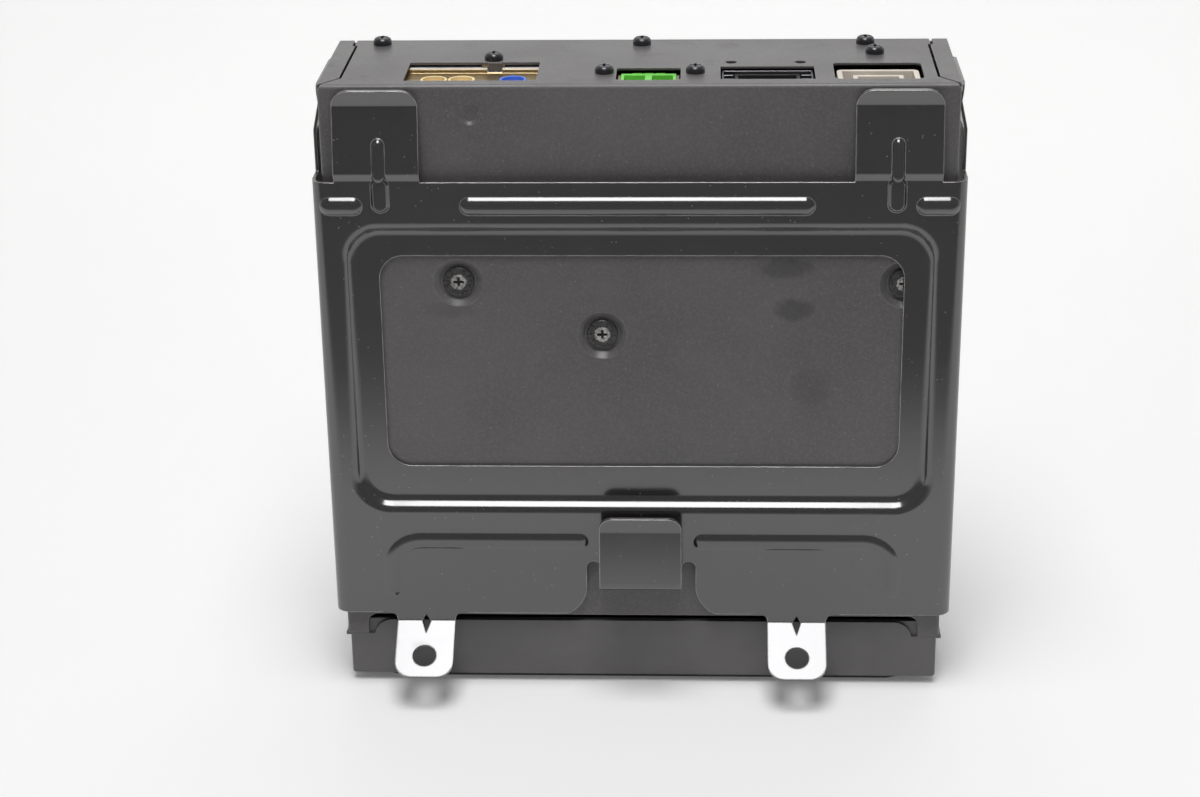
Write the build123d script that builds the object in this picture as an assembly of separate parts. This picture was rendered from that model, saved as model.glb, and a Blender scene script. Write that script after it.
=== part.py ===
from build123d import *
import os
from math import atan, cos, hypot, pi, radians, sin, tan

# Car navigation disc unit, one DIN high, standing on its front in its mounting bracket.
# Millimetres. Origin at the bottom centre, +Z up through the rear connector panel,
# X across the unit, -Y towards the face that carries the bracket.

# Chassis: the folded sheet box
chassis_width = 178.0
chassis_depth = 50.0
chassis_sheet = 0.8
rear_z = 187.0
chassis_fold_radius = 1.2
face_edge_z = 23.0
corner_piece_z = 16.4
corner_piece_width = 6.4
corner_piece_fillet = 3.0

# Rear flaps, folded from the side walls over the rear panel
flap_width = 5.7
flap_mitre_depth = 7.5
flap_gap = 0.8
flap_step_below_cover = 7.5
flap_step_width = 0.9

# Mounting bracket: a U of spring steel round three sides of the chassis
bracket_sheet = 0.9
bracket_side_gap = 1.85
bracket_low_z = 25.2
bracket_below_rear = 27.1
bracket_wall_margin = 1.0
bracket_bend_radius = 4.4
tray_clearance = 0.1
tray_depth = 2.5
tray_margin_x = (3.9, 3.6)
tray_margin_z = (33.0, 11.7)
tray_corner_radius = 12.0
tray_flank_angle = 50.0
tray_edge_radius = 3.0
window_margin_x = (11.3, 10.5)
window_margin_z = (14.1, 10.8)
window_corner_radius = 7.0

# Raised ribs of the bracket: the round ridges, the arch and the pads below the darts
ridge_height = 1.3
ridge_curve = 3.4
ridge_below_edge = 7.0
bead_margin_x = (38.2, 38.9)
gusset_inner_margin = 12.3
gusset_outer_margin = 2.3
arch_rib_height = 0.6
arch_rib_curve = 5.6
arch_rib_margin_x = 14.9
arch_rib_top_z = 49.0
arch_rib_low_z = 33.3
arch_rib_corner = 9.0
arch_rib_inner_x = 18.0
dart_offset = (0.75, -0.35)
dart_curve = 2.0
dart_height = 1.15
dart_above_edge = 12.6
dart_pad_width = 5.3
dart_pad_length = 10.6
dart_pad_height = 0.8

# Leaf tongues at the bracket's free end
tongue_width = (24.1, 24.3)
tongue_margin_x = (3.9, 4.5)
tongue_below_rear = 1.0
tongue_flare_height = 4.8
tongue_root_height = 1.4
tongue_root_step = 1.3
tongue_flare = 1.7
tongue_corner_radius = 5.0
side_tongue_width = 35.0
side_tongue_below_rear = 2.5
side_tongue_flare_height = 4.5
side_tongue_bow_height = 12.5

# Ears with the mounting holes, bent out of the bracket's lower edge
ear_margin_x = (24.5, 42.8)
ear_width = 17.4
ear_fold_drop = 2.8
ear_length = 19.1
ear_tilt = 55.0
ear_corner_radius = 5.0
ear_hole_radius = 3.5
ear_hole_distance = 12.1
ear_notch_radius = 2.3
ear_relief_width = 2.5
ear_relief_length = 4.6

# Hook in the middle of the bracket's lower edge
hook_width = 24.0
hook_slot_width = 4.1
hook_slot_top_z = 42.6
hook_leave_z = 40.4
hook_shelf_z = 37.3
hook_reach = 8.6
hook_bend_z = 55.6
hook_tip_z = 60.4
hook_lean = 1.9
hook_flare = 1.6
hook_inner_radius = 1.4
hook_tip_corner = 4.0
cutout_low_half = 24.4
cutout_neck_z = 33.7

# Front fascia
fascia_side_inset = 0.75
fascia_wall = 2.2
fascia_front = 2.6
fascia_base_z = 2.5
fascia_shoulder_z = 16.3
fascia_collar_z = 21.0
fascia_collar_margin = 8.2
fascia_collar_radius = 5.5
fascia_plateau_margin = 5.0
fascia_plateau_taper = 10.0
fascia_plateau_rim = 4.0
fascia_edge_radius = 1.0
fascia_latch = 0.7
fascia_latch_z = (15.2, 18.6)

# Disc and its slot
disc_above_base = 13.8
disc_thickness = 1.2
slot_width = 124.0
slot_height = 5.6
felt_gap = 1.6
felt_thickness = 1.2
felt_width = 4.4

# Eject button and the little board behind it
button_margin_x = 27.0
button_from_face = 16.0
button_width = 16.0
button_height = 7.0
button_clearance = 0.25
button_recess = 0.4
button_travel = 1.0
button_flange = 1.2
button_flange_thickness = 1.3
button_stem_radius = 1.6
button_stem_length = 3.0
switch_board_z = 14.0
switch_board_sheet = 1.6
switch_board_reach_x = (22.0, 16.0)
switch_board_reach_y = (10.0, 8.0)
switch_board_screw_edge = 3.0
indicator_distance = 16.0
indicator_radius = 1.3

# Screws
m3_radius = 1.5
m3_head_radius = 2.65
m3_head_height = 2.2
screw_clearance = 0.15
thread_clearance = 0.03
cross_width = 0.75
cross_length = 3.0
cross_depth = 1.1

# Rear panel: the four connector windows, each measured from the side wall and from the face
coax_window_wall = 23.6
coax_window_width = 37.1
coax_window_from_face = (4.5, 24.3)
coax_tab_offset = 22.3
coax_tab_width = 3.7
coax_tab_length = 2.4
green_window_wall = 77.2
green_window_width = 18.0
green_window_from_face = (4.6, 17.6)
power_window_wall = 39.8
power_window_width = 26.3
power_window_from_face = (5.3, 19.1)
white_window_wall = 9.7
white_window_width = 24.7
white_window_from_face = (5.4, 22.5)
window_gap = 0.35

# Rear panel: screws and the two plain holes above the power socket
rear_corner_screw_margin = (13.2, 24.0)
rear_corner_screw_below_cover = (5.4, 5.7)
rear_middle_screw_x = 0.2
rear_middle_screw_below_cover = 6.2
coax_screw_offset = 23.7
coax_screw_from_face = 26.9
green_screw_distance = (3.4, 4.1)
green_screw_from_face = 12.6
white_screw_offset = 12.5
white_screw_from_face = 33.2
rear_hole_inset = (3.1, 3.7)
rear_hole_from_face = 23.4
rear_hole_radius = 1.65
rear_screw_length = 5.0

# Coaxial sockets behind their window
coax_plate_drop = 2.9
coax_plate_sheet = 0.6
coax_socket_offset = (7.5, 15.35, 29.9)
coax_socket_from_face = 15.0
coax_collar_radius = 3.75
coax_collar_wall = 0.6
coax_collar_length = 12.0
coax_collar_proud = 0.4
coax_pin_radius = 0.5
coax_body_drop = 1.7
coax_upstand_gap = 0.1

# Dimples of the lower face, with the screws that hold the deck posts
dimple_margin_x = (37.5, 13.8)
middle_dimple_x = -10.7
low_dimple_z = 44.0
high_dimple_below_rear = (58.1, 58.6)
middle_dimple_below_rear = 74.1
dimple_radius = 7.15
dimple_floor_radius = 5.0
dimple_depth = 1.9
small_dimple_margin_x = 42.4
small_dimple_below_rear = 8.6
small_dimple_radius = 3.0
small_dimple_depth = 0.7
deck_screw_length = 6.0
deck_head_radius = 4.5
deck_head_height = 1.2
post_across_flats = 6.0

# Side screws that hold the bracket
low_side_screw_z = 66.8
high_side_screw_below_edge = 23.9
side_screw_head_radius = 3.4
side_screw_head_height = 2.15
side_screw_length = 5.0
side_dimple_radius = 6.0
side_dimple_floor_radius = 4.2
side_dimple_clearance = 0.1

# Top cover
cover_screw_margin_x = 9.0
low_cover_screw_z = 32.0
high_cover_screw_below_rear = 11.0
cover_tab_half = 5.0
cover_flange_depth = 10.5
cover_side_flange = 5.0
cover_gap = 0.15
cover_screw_length = 4.0

# Main circuit board
board_above_face = 2.2
board_sheet = 1.6
board_margin_x = 3.2
board_low_z = 58.0
board_below_rear = 4.5
board_post_clearance = 1.0
chip_height = 1.8
chip_low_z = (92.0, 96.0)
chip_below_top = (32.5, 34.5)
capacitor_radius = 4.0
capacitor_height = 9.0
capacitor_pitch = 12.0
capacitor_margin_x = 13.0
capacitor_below_top = 22.5
ribbon_socket_half = 12.0
ribbon_socket_height = 2.4
ribbon_socket_z = (66.0, 70.0)
ribbon_half_width = 9.0
ribbon_sheet = 0.3
ribbon_rises = (1.0, 8.0, 14.0, 24.0, 27.0, 31.0)
ribbon_bow_below_base = 2.4

# Deck: fixed frame, dampers and the floating base
frame_above_face = 8.7
frame_sheet = 1.0
frame_low_z = 34.0
frame_below_rear = 45.0
frame_margin_x = 6.2
frame_opening_half = 44.0
frame_opening_margin = (18.0, 20.0)
damper_inset_x = 8.0
damper_margin_z = (10.0, 6.0)
damper_height = 6.5
damper_radius = 4.6
damper_waist_radius = 3.4
base_sheet = 1.2
base_half_width = 64.0
base_low_z = 38.0
base_below_rear = 19.0
top_plate_above_disc = 10.0
top_plate_sheet = 1.0
top_plate_window_x = (28.0, 52.0)
top_plate_window_z = (60.0, 120.0)

# Spindle
spindle_z = 90.0
spindle_motor_radius = 12.0
spindle_motor_height = 5.0
spindle_shaft_radius = 1.2
turntable_radius = 15.0
turntable_thickness = 1.5
hub_radius = 7.4
hub_height = 2.0
running_gap = 0.05

# Pickup
sled_half_width = 20.0
sled_length = 24.0
sled_low_z = 104.0
sled_thickness = 7.0
sled_above_base = 1.2
guide_rod_x = 24.0
guide_rod_radius = 1.5
guide_rod_above_base = 4.2
guide_rod_margin = (5.5, 1.5)
lead_screw_x = 32.0
lead_screw_radius = 1.5
feed_motor_radius = 4.0
feed_motor_z = (80.0, 94.0)
lens_radius = 2.5

# Clamp arm
clamp_pivot_below_plate = 3.0
clamp_pivot_margin_z = 10.0
clamp_pin_radius = 1.0
clamp_pin_proud = 0.5
clamp_lug_half = 15.0
clamp_lug_sheet = 1.0
clamp_arm_half_width = 11.0
clamp_arm_sheet = 1.0
puck_radius = 13.0
puck_rise = 3.0

# Cam slider
slider_travel = 8.0
slider_z = (66.0, 124.0)
slider_sheet = 1.0
slider_pin_z = (78.0, 108.0)
slider_pin_radius = 1.25

# Loading roller and its gears
roller_z = 30.0
roller_pivot_z = 50.0
roller_shaft_radius = 1.5
roller_end_radius = 5.0
roller_middle_radius = 4.3
roller_end_gap = 3.0
roller_arm_sheet = 1.0
roller_arm_gap = 2.0
gear_module = 0.6
roller_gear_teeth = 20
idler_teeth = 24
pinion_teeth = 12
gear_width = 3.0
gear_side_gap = 0.9
gear_centre_play = 0.12
loading_motor_radius = 7.2
loading_motor_gap = 1.6
loading_motor_wall_gap = 2.5
motor_shaft_radius = 0.8

half_width = chassis_width / 2
half_depth = chassis_depth / 2
face_y = -half_depth
inner_face_y = face_y + chassis_sheet
cover_y = half_depth
inner_half_width = half_width - chassis_sheet
board_y = inner_face_y + board_above_face
board_top_y = board_y + board_sheet
frame_y = inner_face_y + frame_above_face
frame_top_y = frame_y + frame_sheet
base_y = frame_top_y + damper_height
base_top_y = base_y + base_sheet
disc_y = base_top_y + disc_above_base
disc_low_y = disc_y - disc_thickness / 2
disc_high_y = disc_y + disc_thickness / 2
top_plate_y = disc_y + top_plate_above_disc


def from_walls(left, right):
    """Limits along X, each measured inwards from its side wall."""
    return (-half_width + left, half_width - right)


def from_face(limits):
    """Limits along Y measured from the bracket side of the chassis."""
    return (face_y + limits[0], face_y + limits[1])


def inset(pair, by):
    """The pair of limits moved inwards."""
    return (pair[0] + by, pair[1] - by)


# Bracket
bracket_face_y = face_y - tray_clearance - bracket_sheet - tray_depth
bracket_half_width = half_width + bracket_side_gap + bracket_sheet
bracket_high_z = rear_z - bracket_below_rear
bracket_wall_depth_y = cover_y - bracket_wall_margin
tray_x = from_walls(*tray_margin_x)
tray_z = (bracket_low_z + tray_margin_z[0], bracket_high_z - tray_margin_z[1])
window_x = (tray_x[0] + window_margin_x[0], tray_x[1] - window_margin_x[1])
window_z = (tray_z[0] + window_margin_z[0], tray_z[1] - window_margin_z[1])
ridge_z = bracket_high_z - ridge_below_edge
bead_x = from_walls(*bead_margin_x)
arch_rib_side_x = half_width - arch_rib_margin_x
ear_x = from_walls(*ear_margin_x)
ear_fold_z = bracket_low_z - ear_fold_drop
tongue_top_z = rear_z - tongue_below_rear
tongue_bend_z = tongue_top_z - tongue_flare_height
tongue_root_z = bracket_high_z + tongue_root_height
left_tongue_x = (-half_width + tongue_margin_x[0], -half_width + tongue_margin_x[0] + tongue_width[0])
right_tongue_x = (half_width - tongue_margin_x[1] - tongue_width[1], half_width - tongue_margin_x[1])
front_tongue_x = (left_tongue_x, right_tongue_x)
dart_x = (sum(left_tongue_x) / 2 + dart_offset[0], sum(right_tongue_x) / 2 + dart_offset[1])
side_tongue_top_z = rear_z - side_tongue_below_rear
side_tongue_contact_z = side_tongue_top_z - side_tongue_flare_height
side_tongue_bend_z = side_tongue_top_z - side_tongue_bow_height
side_screw_z = (low_side_screw_z, bracket_high_z - high_side_screw_below_edge)

# Fascia
fascia_width = chassis_width - 2 * fascia_side_inset
fascia_collar_half = half_width - fascia_collar_margin
fascia_plateau_half = half_width - fascia_plateau_margin
fascia_plateau_depth = chassis_depth - 2 * fascia_plateau_rim
button_x = half_width - button_margin_x
button_y = face_y + button_from_face
switch_board_x = (button_x - switch_board_reach_x[0], button_x + switch_board_reach_x[1])
switch_board_y = (button_y - switch_board_reach_y[0], button_y + switch_board_reach_y[1])
indicator_x = button_x - indicator_distance

# Rear panel
coax_window_x = (-half_width + coax_window_wall, -half_width + coax_window_wall + coax_window_width)
coax_window_y = from_face(coax_window_from_face)
coax_tab_x = (coax_window_x[0] + coax_tab_offset, coax_window_x[0] + coax_tab_offset + coax_tab_width)
green_window_x = (half_width - green_window_wall - green_window_width, half_width - green_window_wall)
green_window_y = from_face(green_window_from_face)
power_window_x = (half_width - power_window_wall - power_window_width, half_width - power_window_wall)
power_window_y = from_face(power_window_from_face)
white_window_x = (half_width - white_window_wall - white_window_width, half_width - white_window_wall)
white_window_y = from_face(white_window_from_face)
coax_socket_x = [coax_window_x[0] + offset for offset in coax_socket_offset]
coax_socket_y = face_y + coax_socket_from_face
coax_screw_place = (coax_window_x[0] + coax_screw_offset, face_y + coax_screw_from_face)
rear_screw_places = (
    (-half_width + rear_corner_screw_margin[0], cover_y - rear_corner_screw_below_cover[0]),
    (rear_middle_screw_x, cover_y - rear_middle_screw_below_cover),
    (half_width - rear_corner_screw_margin[1], cover_y - rear_corner_screw_below_cover[1]),
    coax_screw_place,
    (green_window_x[0] - green_screw_distance[0], face_y + green_screw_from_face),
    (green_window_x[1] + green_screw_distance[1], face_y + green_screw_from_face),
    (white_window_x[0] + white_screw_offset, face_y + white_screw_from_face),
)
rear_hole_x = (power_window_x[0] + rear_hole_inset[0], power_window_x[1] - rear_hole_inset[1])
rear_hole_y = face_y + rear_hole_from_face

# Lower face and cover
dimple_x = from_walls(*dimple_margin_x)
dimple_places = (
    (dimple_x[0], rear_z - high_dimple_below_rear[0]),
    (middle_dimple_x, rear_z - middle_dimple_below_rear),
    (dimple_x[1], rear_z - high_dimple_below_rear[1]),
    (dimple_x[0], low_dimple_z),
    (dimple_x[1], low_dimple_z),
)
small_dimple_place = (-half_width + small_dimple_margin_x, rear_z - small_dimple_below_rear)
cover_screw_x = half_width - cover_screw_margin_x
high_cover_screw_z = rear_z - high_cover_screw_below_rear
cover_screw_z = (low_cover_screw_z, high_cover_screw_z)
cover_screw_places = [(x, z) for z in cover_screw_z for x in (-cover_screw_x, cover_screw_x)]

# Board and deck
board_half_width = inner_half_width - board_margin_x
board_z = (board_low_z, rear_z - board_below_rear)
frame_half_width = inner_half_width - frame_margin_x
frame_z = (frame_low_z, rear_z - frame_below_rear)
frame_opening_z = (frame_z[0] + frame_opening_margin[0], frame_z[1] - frame_opening_margin[1])
damper_z = (frame_z[0] + damper_margin_z[0], frame_z[1] - damper_margin_z[1])
damper_x = base_half_width - damper_inset_x
damper_places = [(x, z) for z in damper_z for x in (-damper_x, damper_x)]
base_z = (base_low_z, rear_z - base_below_rear)
deck_side_x = base_half_width + base_sheet
sled_y = base_top_y + sled_above_base
guide_rod_y = base_top_y + guide_rod_above_base
guide_rod_z = (sled_low_z - guide_rod_margin[0], base_z[1] - guide_rod_margin[1])
clamp_pivot_y = top_plate_y - clamp_pivot_below_plate
clamp_pivot_z = base_z[1] - clamp_pivot_margin_z
roller_bracket_half = base_half_width - roller_arm_gap - roller_arm_sheet
roller_half_length = roller_bracket_half - roller_end_gap

nodes = {}


def block(x, y, z):
    """Box between the two values of x, y and z."""
    place = Pos((x[0] + x[1]) / 2, (y[0] + y[1]) / 2, (z[0] + z[1]) / 2)
    return place * Box(x[1] - x[0], y[1] - y[0], z[1] - z[0])


def rod_x(x, y, z, radius):
    """Cylinder along X between the two values of x."""
    return Pos((x[0] + x[1]) / 2, y, z) * Rot(0, 90, 0) * Cylinder(radius, x[1] - x[0])


def rod_y(x, y, z, radius):
    """Cylinder along Y between the two values of y."""
    return Pos(x, (y[0] + y[1]) / 2, z) * Rot(90, 0, 0) * Cylinder(radius, y[1] - y[0])


def rod_z(x, y, z, radius):
    """Cylinder along Z between the two values of z."""
    return Pos(x, y, (z[0] + z[1]) / 2) * Cylinder(radius, z[1] - z[0])


def front_plane(y):
    """Plane across Y, with local x along X and local y along Z."""
    return Plane(origin=(0, y, 0), x_dir=(1, 0, 0), z_dir=(0, -1, 0))


def outline(x, z, radius, y):
    """Rounded rectangle across Y."""
    centre = Pos((x[0] + x[1]) / 2, (z[0] + z[1]) / 2)
    return front_plane(y) * centre * RectangleRounded(x[1] - x[0], z[1] - z[0], radius)


def slab(x, z, radius, y):
    """Plate across Y with rounded corners, between the two values of y."""
    return extrude(outline(x, z, radius, y[0]), amount=y[1] - y[0], dir=(0, 1, 0))


def pressing(x, z, radius, y, width):
    """Drafted block across Y: its outline shrinks by width from y[0] to y[1]."""
    low = outline(x, z, radius, y[0])
    high = outline(inset(x, width), inset(z, width), radius - width, y[1])
    return loft([low, high], ruled=True)


def edges_in(shape, low, high):
    """Edges that lie inside the box, give or take a hair."""
    hair = 0.01
    found = []
    for edge in shape.edges():
        box = edge.bounding_box()
        above = box.min.X > low[0] - hair and box.min.Y > low[1] - hair and box.min.Z > low[2] - hair
        below = box.max.X < high[0] + hair and box.max.Y < high[1] + hair and box.max.Z < high[2] + hair
        if above and below:
            found.append(edge)
    return found


def miter(before, here, after, half):
    """Points on both sides of a bend of the middle line, half a sheet away."""
    first = hypot(here[0] - before[0], here[1] - before[1])
    second = hypot(after[0] - here[0], after[1] - here[1])
    n1 = (-(here[1] - before[1]) / first, (here[0] - before[0]) / first)
    n2 = (-(after[1] - here[1]) / second, (after[0] - here[0]) / second)
    scale = half / (1 + n1[0] * n2[0] + n1[1] * n2[1])
    step = ((n1[0] + n2[0]) * scale, (n1[1] + n2[1]) * scale)
    left = (here[0] + step[0], here[1] + step[1])
    right = (here[0] - step[0], here[1] - step[1])
    turn = n1[0] * n2[1] - n1[1] * n2[0]
    return left, right, turn


def bent_sheet(points, sheet, inner_radii):
    """Face of a bent strip of sheet, from the points of its middle line."""
    half = sheet / 2
    left, right, left_radii, right_radii = [], [], [], []
    for index, here in enumerate(points):
        before = points[max(index - 1, 0)]
        after = points[min(index + 1, len(points) - 1)]
        if index == 0:
            before = (2 * here[0] - after[0], 2 * here[1] - after[1])
        if index == len(points) - 1:
            after = (2 * here[0] - before[0], 2 * here[1] - before[1])
        l, r, turn = miter(before, here, after, half)
        left.append(l)
        right.append(r)
        if 0 < index < len(points) - 1:
            inner = inner_radii[index - 1]
            left_radii.append(inner if turn > 0 else inner + sheet)
            right_radii.append(inner + sheet if turn > 0 else inner)
    sides = FilletPolyline(*left, radius=left_radii) + FilletPolyline(*right, radius=right_radii)
    ends = Line(left[0], right[0]) + Line(left[-1], right[-1])
    return make_face((sides + ends).edges())


def strip_along_x(points, sheet, inner_radii, x):
    """Bent strip whose profile is in (y, z), between the two values of x."""
    face = Plane.YZ.offset(x[0]) * bent_sheet(points, sheet, inner_radii)
    return extrude(face, amount=x[1] - x[0], dir=(1, 0, 0))


def strip_along_y(points, sheet, inner_radii, y):
    """Bent strip whose profile is in (x, z), between the two values of y."""
    face = front_plane(y[0]) * bent_sheet(points, sheet, inner_radii)
    return extrude(face, amount=y[1] - y[0], dir=(0, 1, 0))


def prism_x(points, x):
    """Prism along X with a straight-sided profile in (y, z)."""
    face = Plane.YZ.offset(x[0]) * make_face(Polyline(*points, close=True))
    return extrude(face, amount=x[1] - x[0], dir=(1, 0, 0))


def prism_y(points, y):
    """Prism along Y with a straight-sided profile in (x, z)."""
    face = front_plane(y[0]) * make_face(Polyline(*points, close=True))
    return extrude(face, amount=y[1] - y[0], dir=(0, 1, 0))


def prism_z(points, z):
    """Prism along Z with a straight-sided profile in (x, y)."""
    face = Plane.XY.offset(z[0]) * make_face(Polyline(*points, close=True))
    return extrude(face, amount=z[1] - z[0], dir=(0, 0, 1))


def pan_screw(length, radius=m3_radius, head_radius=m3_head_radius, head_height=m3_head_height):
    """Cross-recess screw along Z: the head sits on z = 0 and the shank goes down."""
    head = Pos(0, 0, head_height / 2) * Cylinder(head_radius, head_height)
    head = fillet(head.edges().group_by(Axis.Z)[-1], head_height * 0.6)
    for turn in (0, 90):
        arm = Rot(0, 0, turn) * Box(cross_length, cross_width, 2 * cross_depth)
        head -= Pos(0, 0, head_height) * arm
    return head + Pos(0, 0, -length / 2) * Cylinder(radius, length)


def group(parts):
    """Separate solids that share one node."""
    solids = []
    for part in parts:
        solids.extend(part.solids())
    return Compound(children=solids)


def dimple_tools(x, z, radius, floor_radius, depth, outer_y, sheet):
    """What a round dimple adds behind a face and what it takes from its front."""
    spread = sheet * tan(atan((radius - floor_radius) / depth) / 2)
    back = Pos(x, outer_y + sheet, z) * Rot(-90, 0, 0)
    back = back * Pos(0, 0, depth / 2) * Cone(radius + spread, floor_radius + spread, depth)
    front = Pos(x, outer_y, z) * Rot(-90, 0, 0)
    front = front * Pos(0, 0, depth / 2) * Cone(radius, floor_radius, depth)
    return back, front


def make_chassis():
    tub = block((-half_width, half_width), (face_y, cover_y - chassis_sheet), (corner_piece_z, rear_z))
    folds = edges_in(tub, (-half_width, face_y, rear_z), (half_width, face_y, rear_z))
    folds += edges_in(tub, (-half_width, face_y, corner_piece_z), (-half_width, face_y, rear_z))
    folds += edges_in(tub, (half_width, face_y, corner_piece_z), (half_width, face_y, rear_z))
    tub = fillet(folds, chassis_fold_radius)
    tub -= block((-inner_half_width, inner_half_width), (inner_face_y, cover_y), (0, rear_z - chassis_sheet))
    notch_half = half_width - corner_piece_width
    notch = block((-notch_half, notch_half), (face_y - 1, inner_face_y + 1), (0, face_edge_z))
    notch = fillet(notch.edges().filter_by(Axis.Y).group_by(Axis.Z)[-1], corner_piece_fillet)
    tub -= notch
    for side in (-1, 1):
        inner, outer = side * (inner_half_width - 1), side * (half_width + 1)
        latch_y = (face_y + 1.0, face_y + 13.2)
        tub -= block((min(inner, outer), max(inner, outer)), latch_y, (0, fascia_latch_z[1] + 0.2))
        flap_x = side * (half_width - flap_width)
        stepped_x = flap_x + side * flap_step_width
        flap_step_y = cover_y - flap_step_below_cover
        corner = (side * (half_width + 1), face_y - flap_mitre_depth / flap_width)
        mitre = (flap_x, face_y + flap_mitre_depth)
        step = (flap_x, flap_step_y)
        out = (stepped_x, flap_step_y + flap_step_width)
        end = (stepped_x, cover_y + 1)
        path = Polyline(corner, mitre, step, out, end)
        cut = Plane.XY.offset(rear_z - chassis_sheet - 0.5) * trace(path, line_width=flap_gap)
        tub -= extrude(cut, amount=chassis_sheet + 1.5, dir=(0, 0, 1))
    for x, z in dimple_places:
        back, front = dimple_tools(x, z, dimple_radius, dimple_floor_radius, dimple_depth,
                                   face_y, chassis_sheet)
        tub = tub + back - front
        tub -= rod_y(x, (face_y, inner_face_y + 2 * dimple_depth), z, m3_radius + screw_clearance)
    x, z = small_dimple_place
    back, front = dimple_tools(x, z, small_dimple_radius, small_dimple_radius - 1, small_dimple_depth,
                               face_y, chassis_sheet)
    tub = tub + back - front
    panel = (rear_z - chassis_sheet - 1, rear_z + 1)
    tub -= block(coax_window_x, coax_window_y, panel)
    tub -= block(power_window_x, power_window_y, panel)
    tub -= fillet(block(green_window_x, green_window_y, panel).edges().filter_by(Axis.Z), 1.4)
    tub -= fillet(block(white_window_x, white_window_y, panel).edges().filter_by(Axis.Z), 1.8)
    tab_y = (coax_window_y[1] - chassis_sheet, coax_window_y[1])
    tub += block(coax_tab_x, tab_y, (rear_z - coax_tab_length, rear_z))
    for x in rear_hole_x:
        tub -= rod_z(x, rear_hole_y, panel, rear_hole_radius)
    for x, y in rear_screw_places:
        tub -= rod_z(x, y, panel, m3_radius + screw_clearance)
    for z in side_screw_z:
        tub -= rod_x((-half_width - 1, half_width + 1), 0, z, m3_radius + thread_clearance)
    for x, z in cover_screw_places:
        wall = half_width if x > 0 else -half_width
        reach = x - cover_tab_half if x > 0 else x + cover_tab_half
        tab_y = (cover_y - 2 * chassis_sheet, cover_y - chassis_sheet)
        tab = block((min(wall, reach), max(wall, reach)), tab_y, (z - cover_tab_half, z + cover_tab_half))
        tub += tab - rod_y(x, (tab_y[0] - 1, tab_y[1] + 1), z, m3_radius + thread_clearance)
    nodes["lower_chassis"] = tub


def make_top_cover():
    edge = half_width
    inside = inner_half_width - cover_gap
    top_z = rear_z - chassis_sheet
    cover = block((-edge, edge), (cover_y - chassis_sheet, cover_y), (fascia_shoulder_z + cover_gap, top_z))
    rear_y = (cover_y - chassis_sheet - cover_flange_depth, cover_y - chassis_sheet)
    rear_flange_z = (rear_z - 2 * chassis_sheet - cover_gap, rear_z - chassis_sheet - cover_gap)
    cover_tab_inner = cover_screw_x - cover_tab_half - cover_gap
    cover += block((-cover_tab_inner, cover_tab_inner), rear_y, rear_flange_z)
    low = cover_screw_places[0][1] + cover_tab_half + cover_gap
    high = cover_screw_places[2][1] - cover_tab_half - cover_gap
    for side in (-1, 1):
        outer = side * inside
        inner = side * (inside - chassis_sheet)
        flange_y = (cover_y - chassis_sheet - cover_side_flange, cover_y - chassis_sheet)
        cover += block((min(outer, inner), max(outer, inner)), flange_y, (low, high))
    for x, z in cover_screw_places:
        cover -= rod_y(x, (cover_y - 2, cover_y + 1), z, m3_radius + screw_clearance)
    for x, y in rear_screw_places:
        cover -= rod_z(x, y, (rear_flange_z[0] - 1, rear_flange_z[1] + 1), m3_radius + thread_clearance)
    nodes["top_cover"] = cover
    screws = []
    for x, z in cover_screw_places:
        screws.append(Pos(x, cover_y, z) * Rot(-90, 0, 0) * pan_screw(cover_screw_length))
    nodes["cover_screws"] = group(screws)


def bracket_u():
    """The plain U of the bracket before anything is pressed or cut."""
    outer = block((-bracket_half_width, bracket_half_width), (bracket_face_y, bracket_wall_depth_y),
                  (bracket_low_z, bracket_high_z))
    bends = outer.edges().filter_by(Axis.Z).group_by(Axis.Y)[0]
    outer = fillet(bends, bracket_bend_radius)
    inner_half = bracket_half_width - bracket_sheet
    inner = block((-inner_half, inner_half), (bracket_face_y + bracket_sheet, bracket_wall_depth_y + 1),
                  (bracket_low_z - 1, bracket_high_z + 1))
    bends = inner.edges().filter_by(Axis.Z).group_by(Axis.Y)[0]
    return outer - fillet(bends, bracket_bend_radius - bracket_sheet)


def press_tray(body):
    """Sink the tray and cut the window in its floor."""
    half_turn = tan(radians(tray_flank_angle) / 2)
    flank = tray_depth / tan(radians(tray_flank_angle))
    rim = tray_edge_radius * half_turn
    spread = bracket_sheet * half_turn
    top = (inset(tray_x, rim), inset(tray_z, rim), tray_corner_radius - rim)
    back_y = bracket_face_y + bracket_sheet
    body += pressing(inset(top[0], -spread), inset(top[1], -spread), top[2] + spread,
                     (back_y, back_y + tray_depth), flank)
    body -= pressing(top[0], top[1], top[2], (bracket_face_y, bracket_face_y + tray_depth), flank)
    for y in (bracket_face_y, bracket_face_y + tray_depth):
        rims = edges_in(body, (tray_x[0], y, tray_z[0]), (tray_x[1], y, tray_z[1]))
        body = fillet(rims, tray_edge_radius)
    return body - slab(window_x, window_z, window_corner_radius, (bracket_face_y, face_y))


def ridge_blend(body, x):
    """Bracket with a round-ended ridge raised along X between the two values of x."""
    axis_y = bracket_face_y - ridge_height + ridge_curve
    reach = (ridge_curve ** 2 - (ridge_curve - ridge_height) ** 2) ** 0.5
    round_x = inset(inset(x, reach), ridge_curve - reach)
    bar = rod_x(round_x, axis_y, ridge_z, ridge_curve)
    for end in round_x:
        bar += Pos(end, axis_y, ridge_z) * Sphere(ridge_curve)
    return body + above_face(bar, bracket_sheet / 2)


def above_face(solid, depth):
    """The part of a solid that stands out of the bracket's face, and a little below it."""
    keep = block((-bracket_half_width, bracket_half_width), (bracket_face_y - 5, bracket_face_y + depth),
                 (0, rear_z))
    return solid & keep


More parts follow.
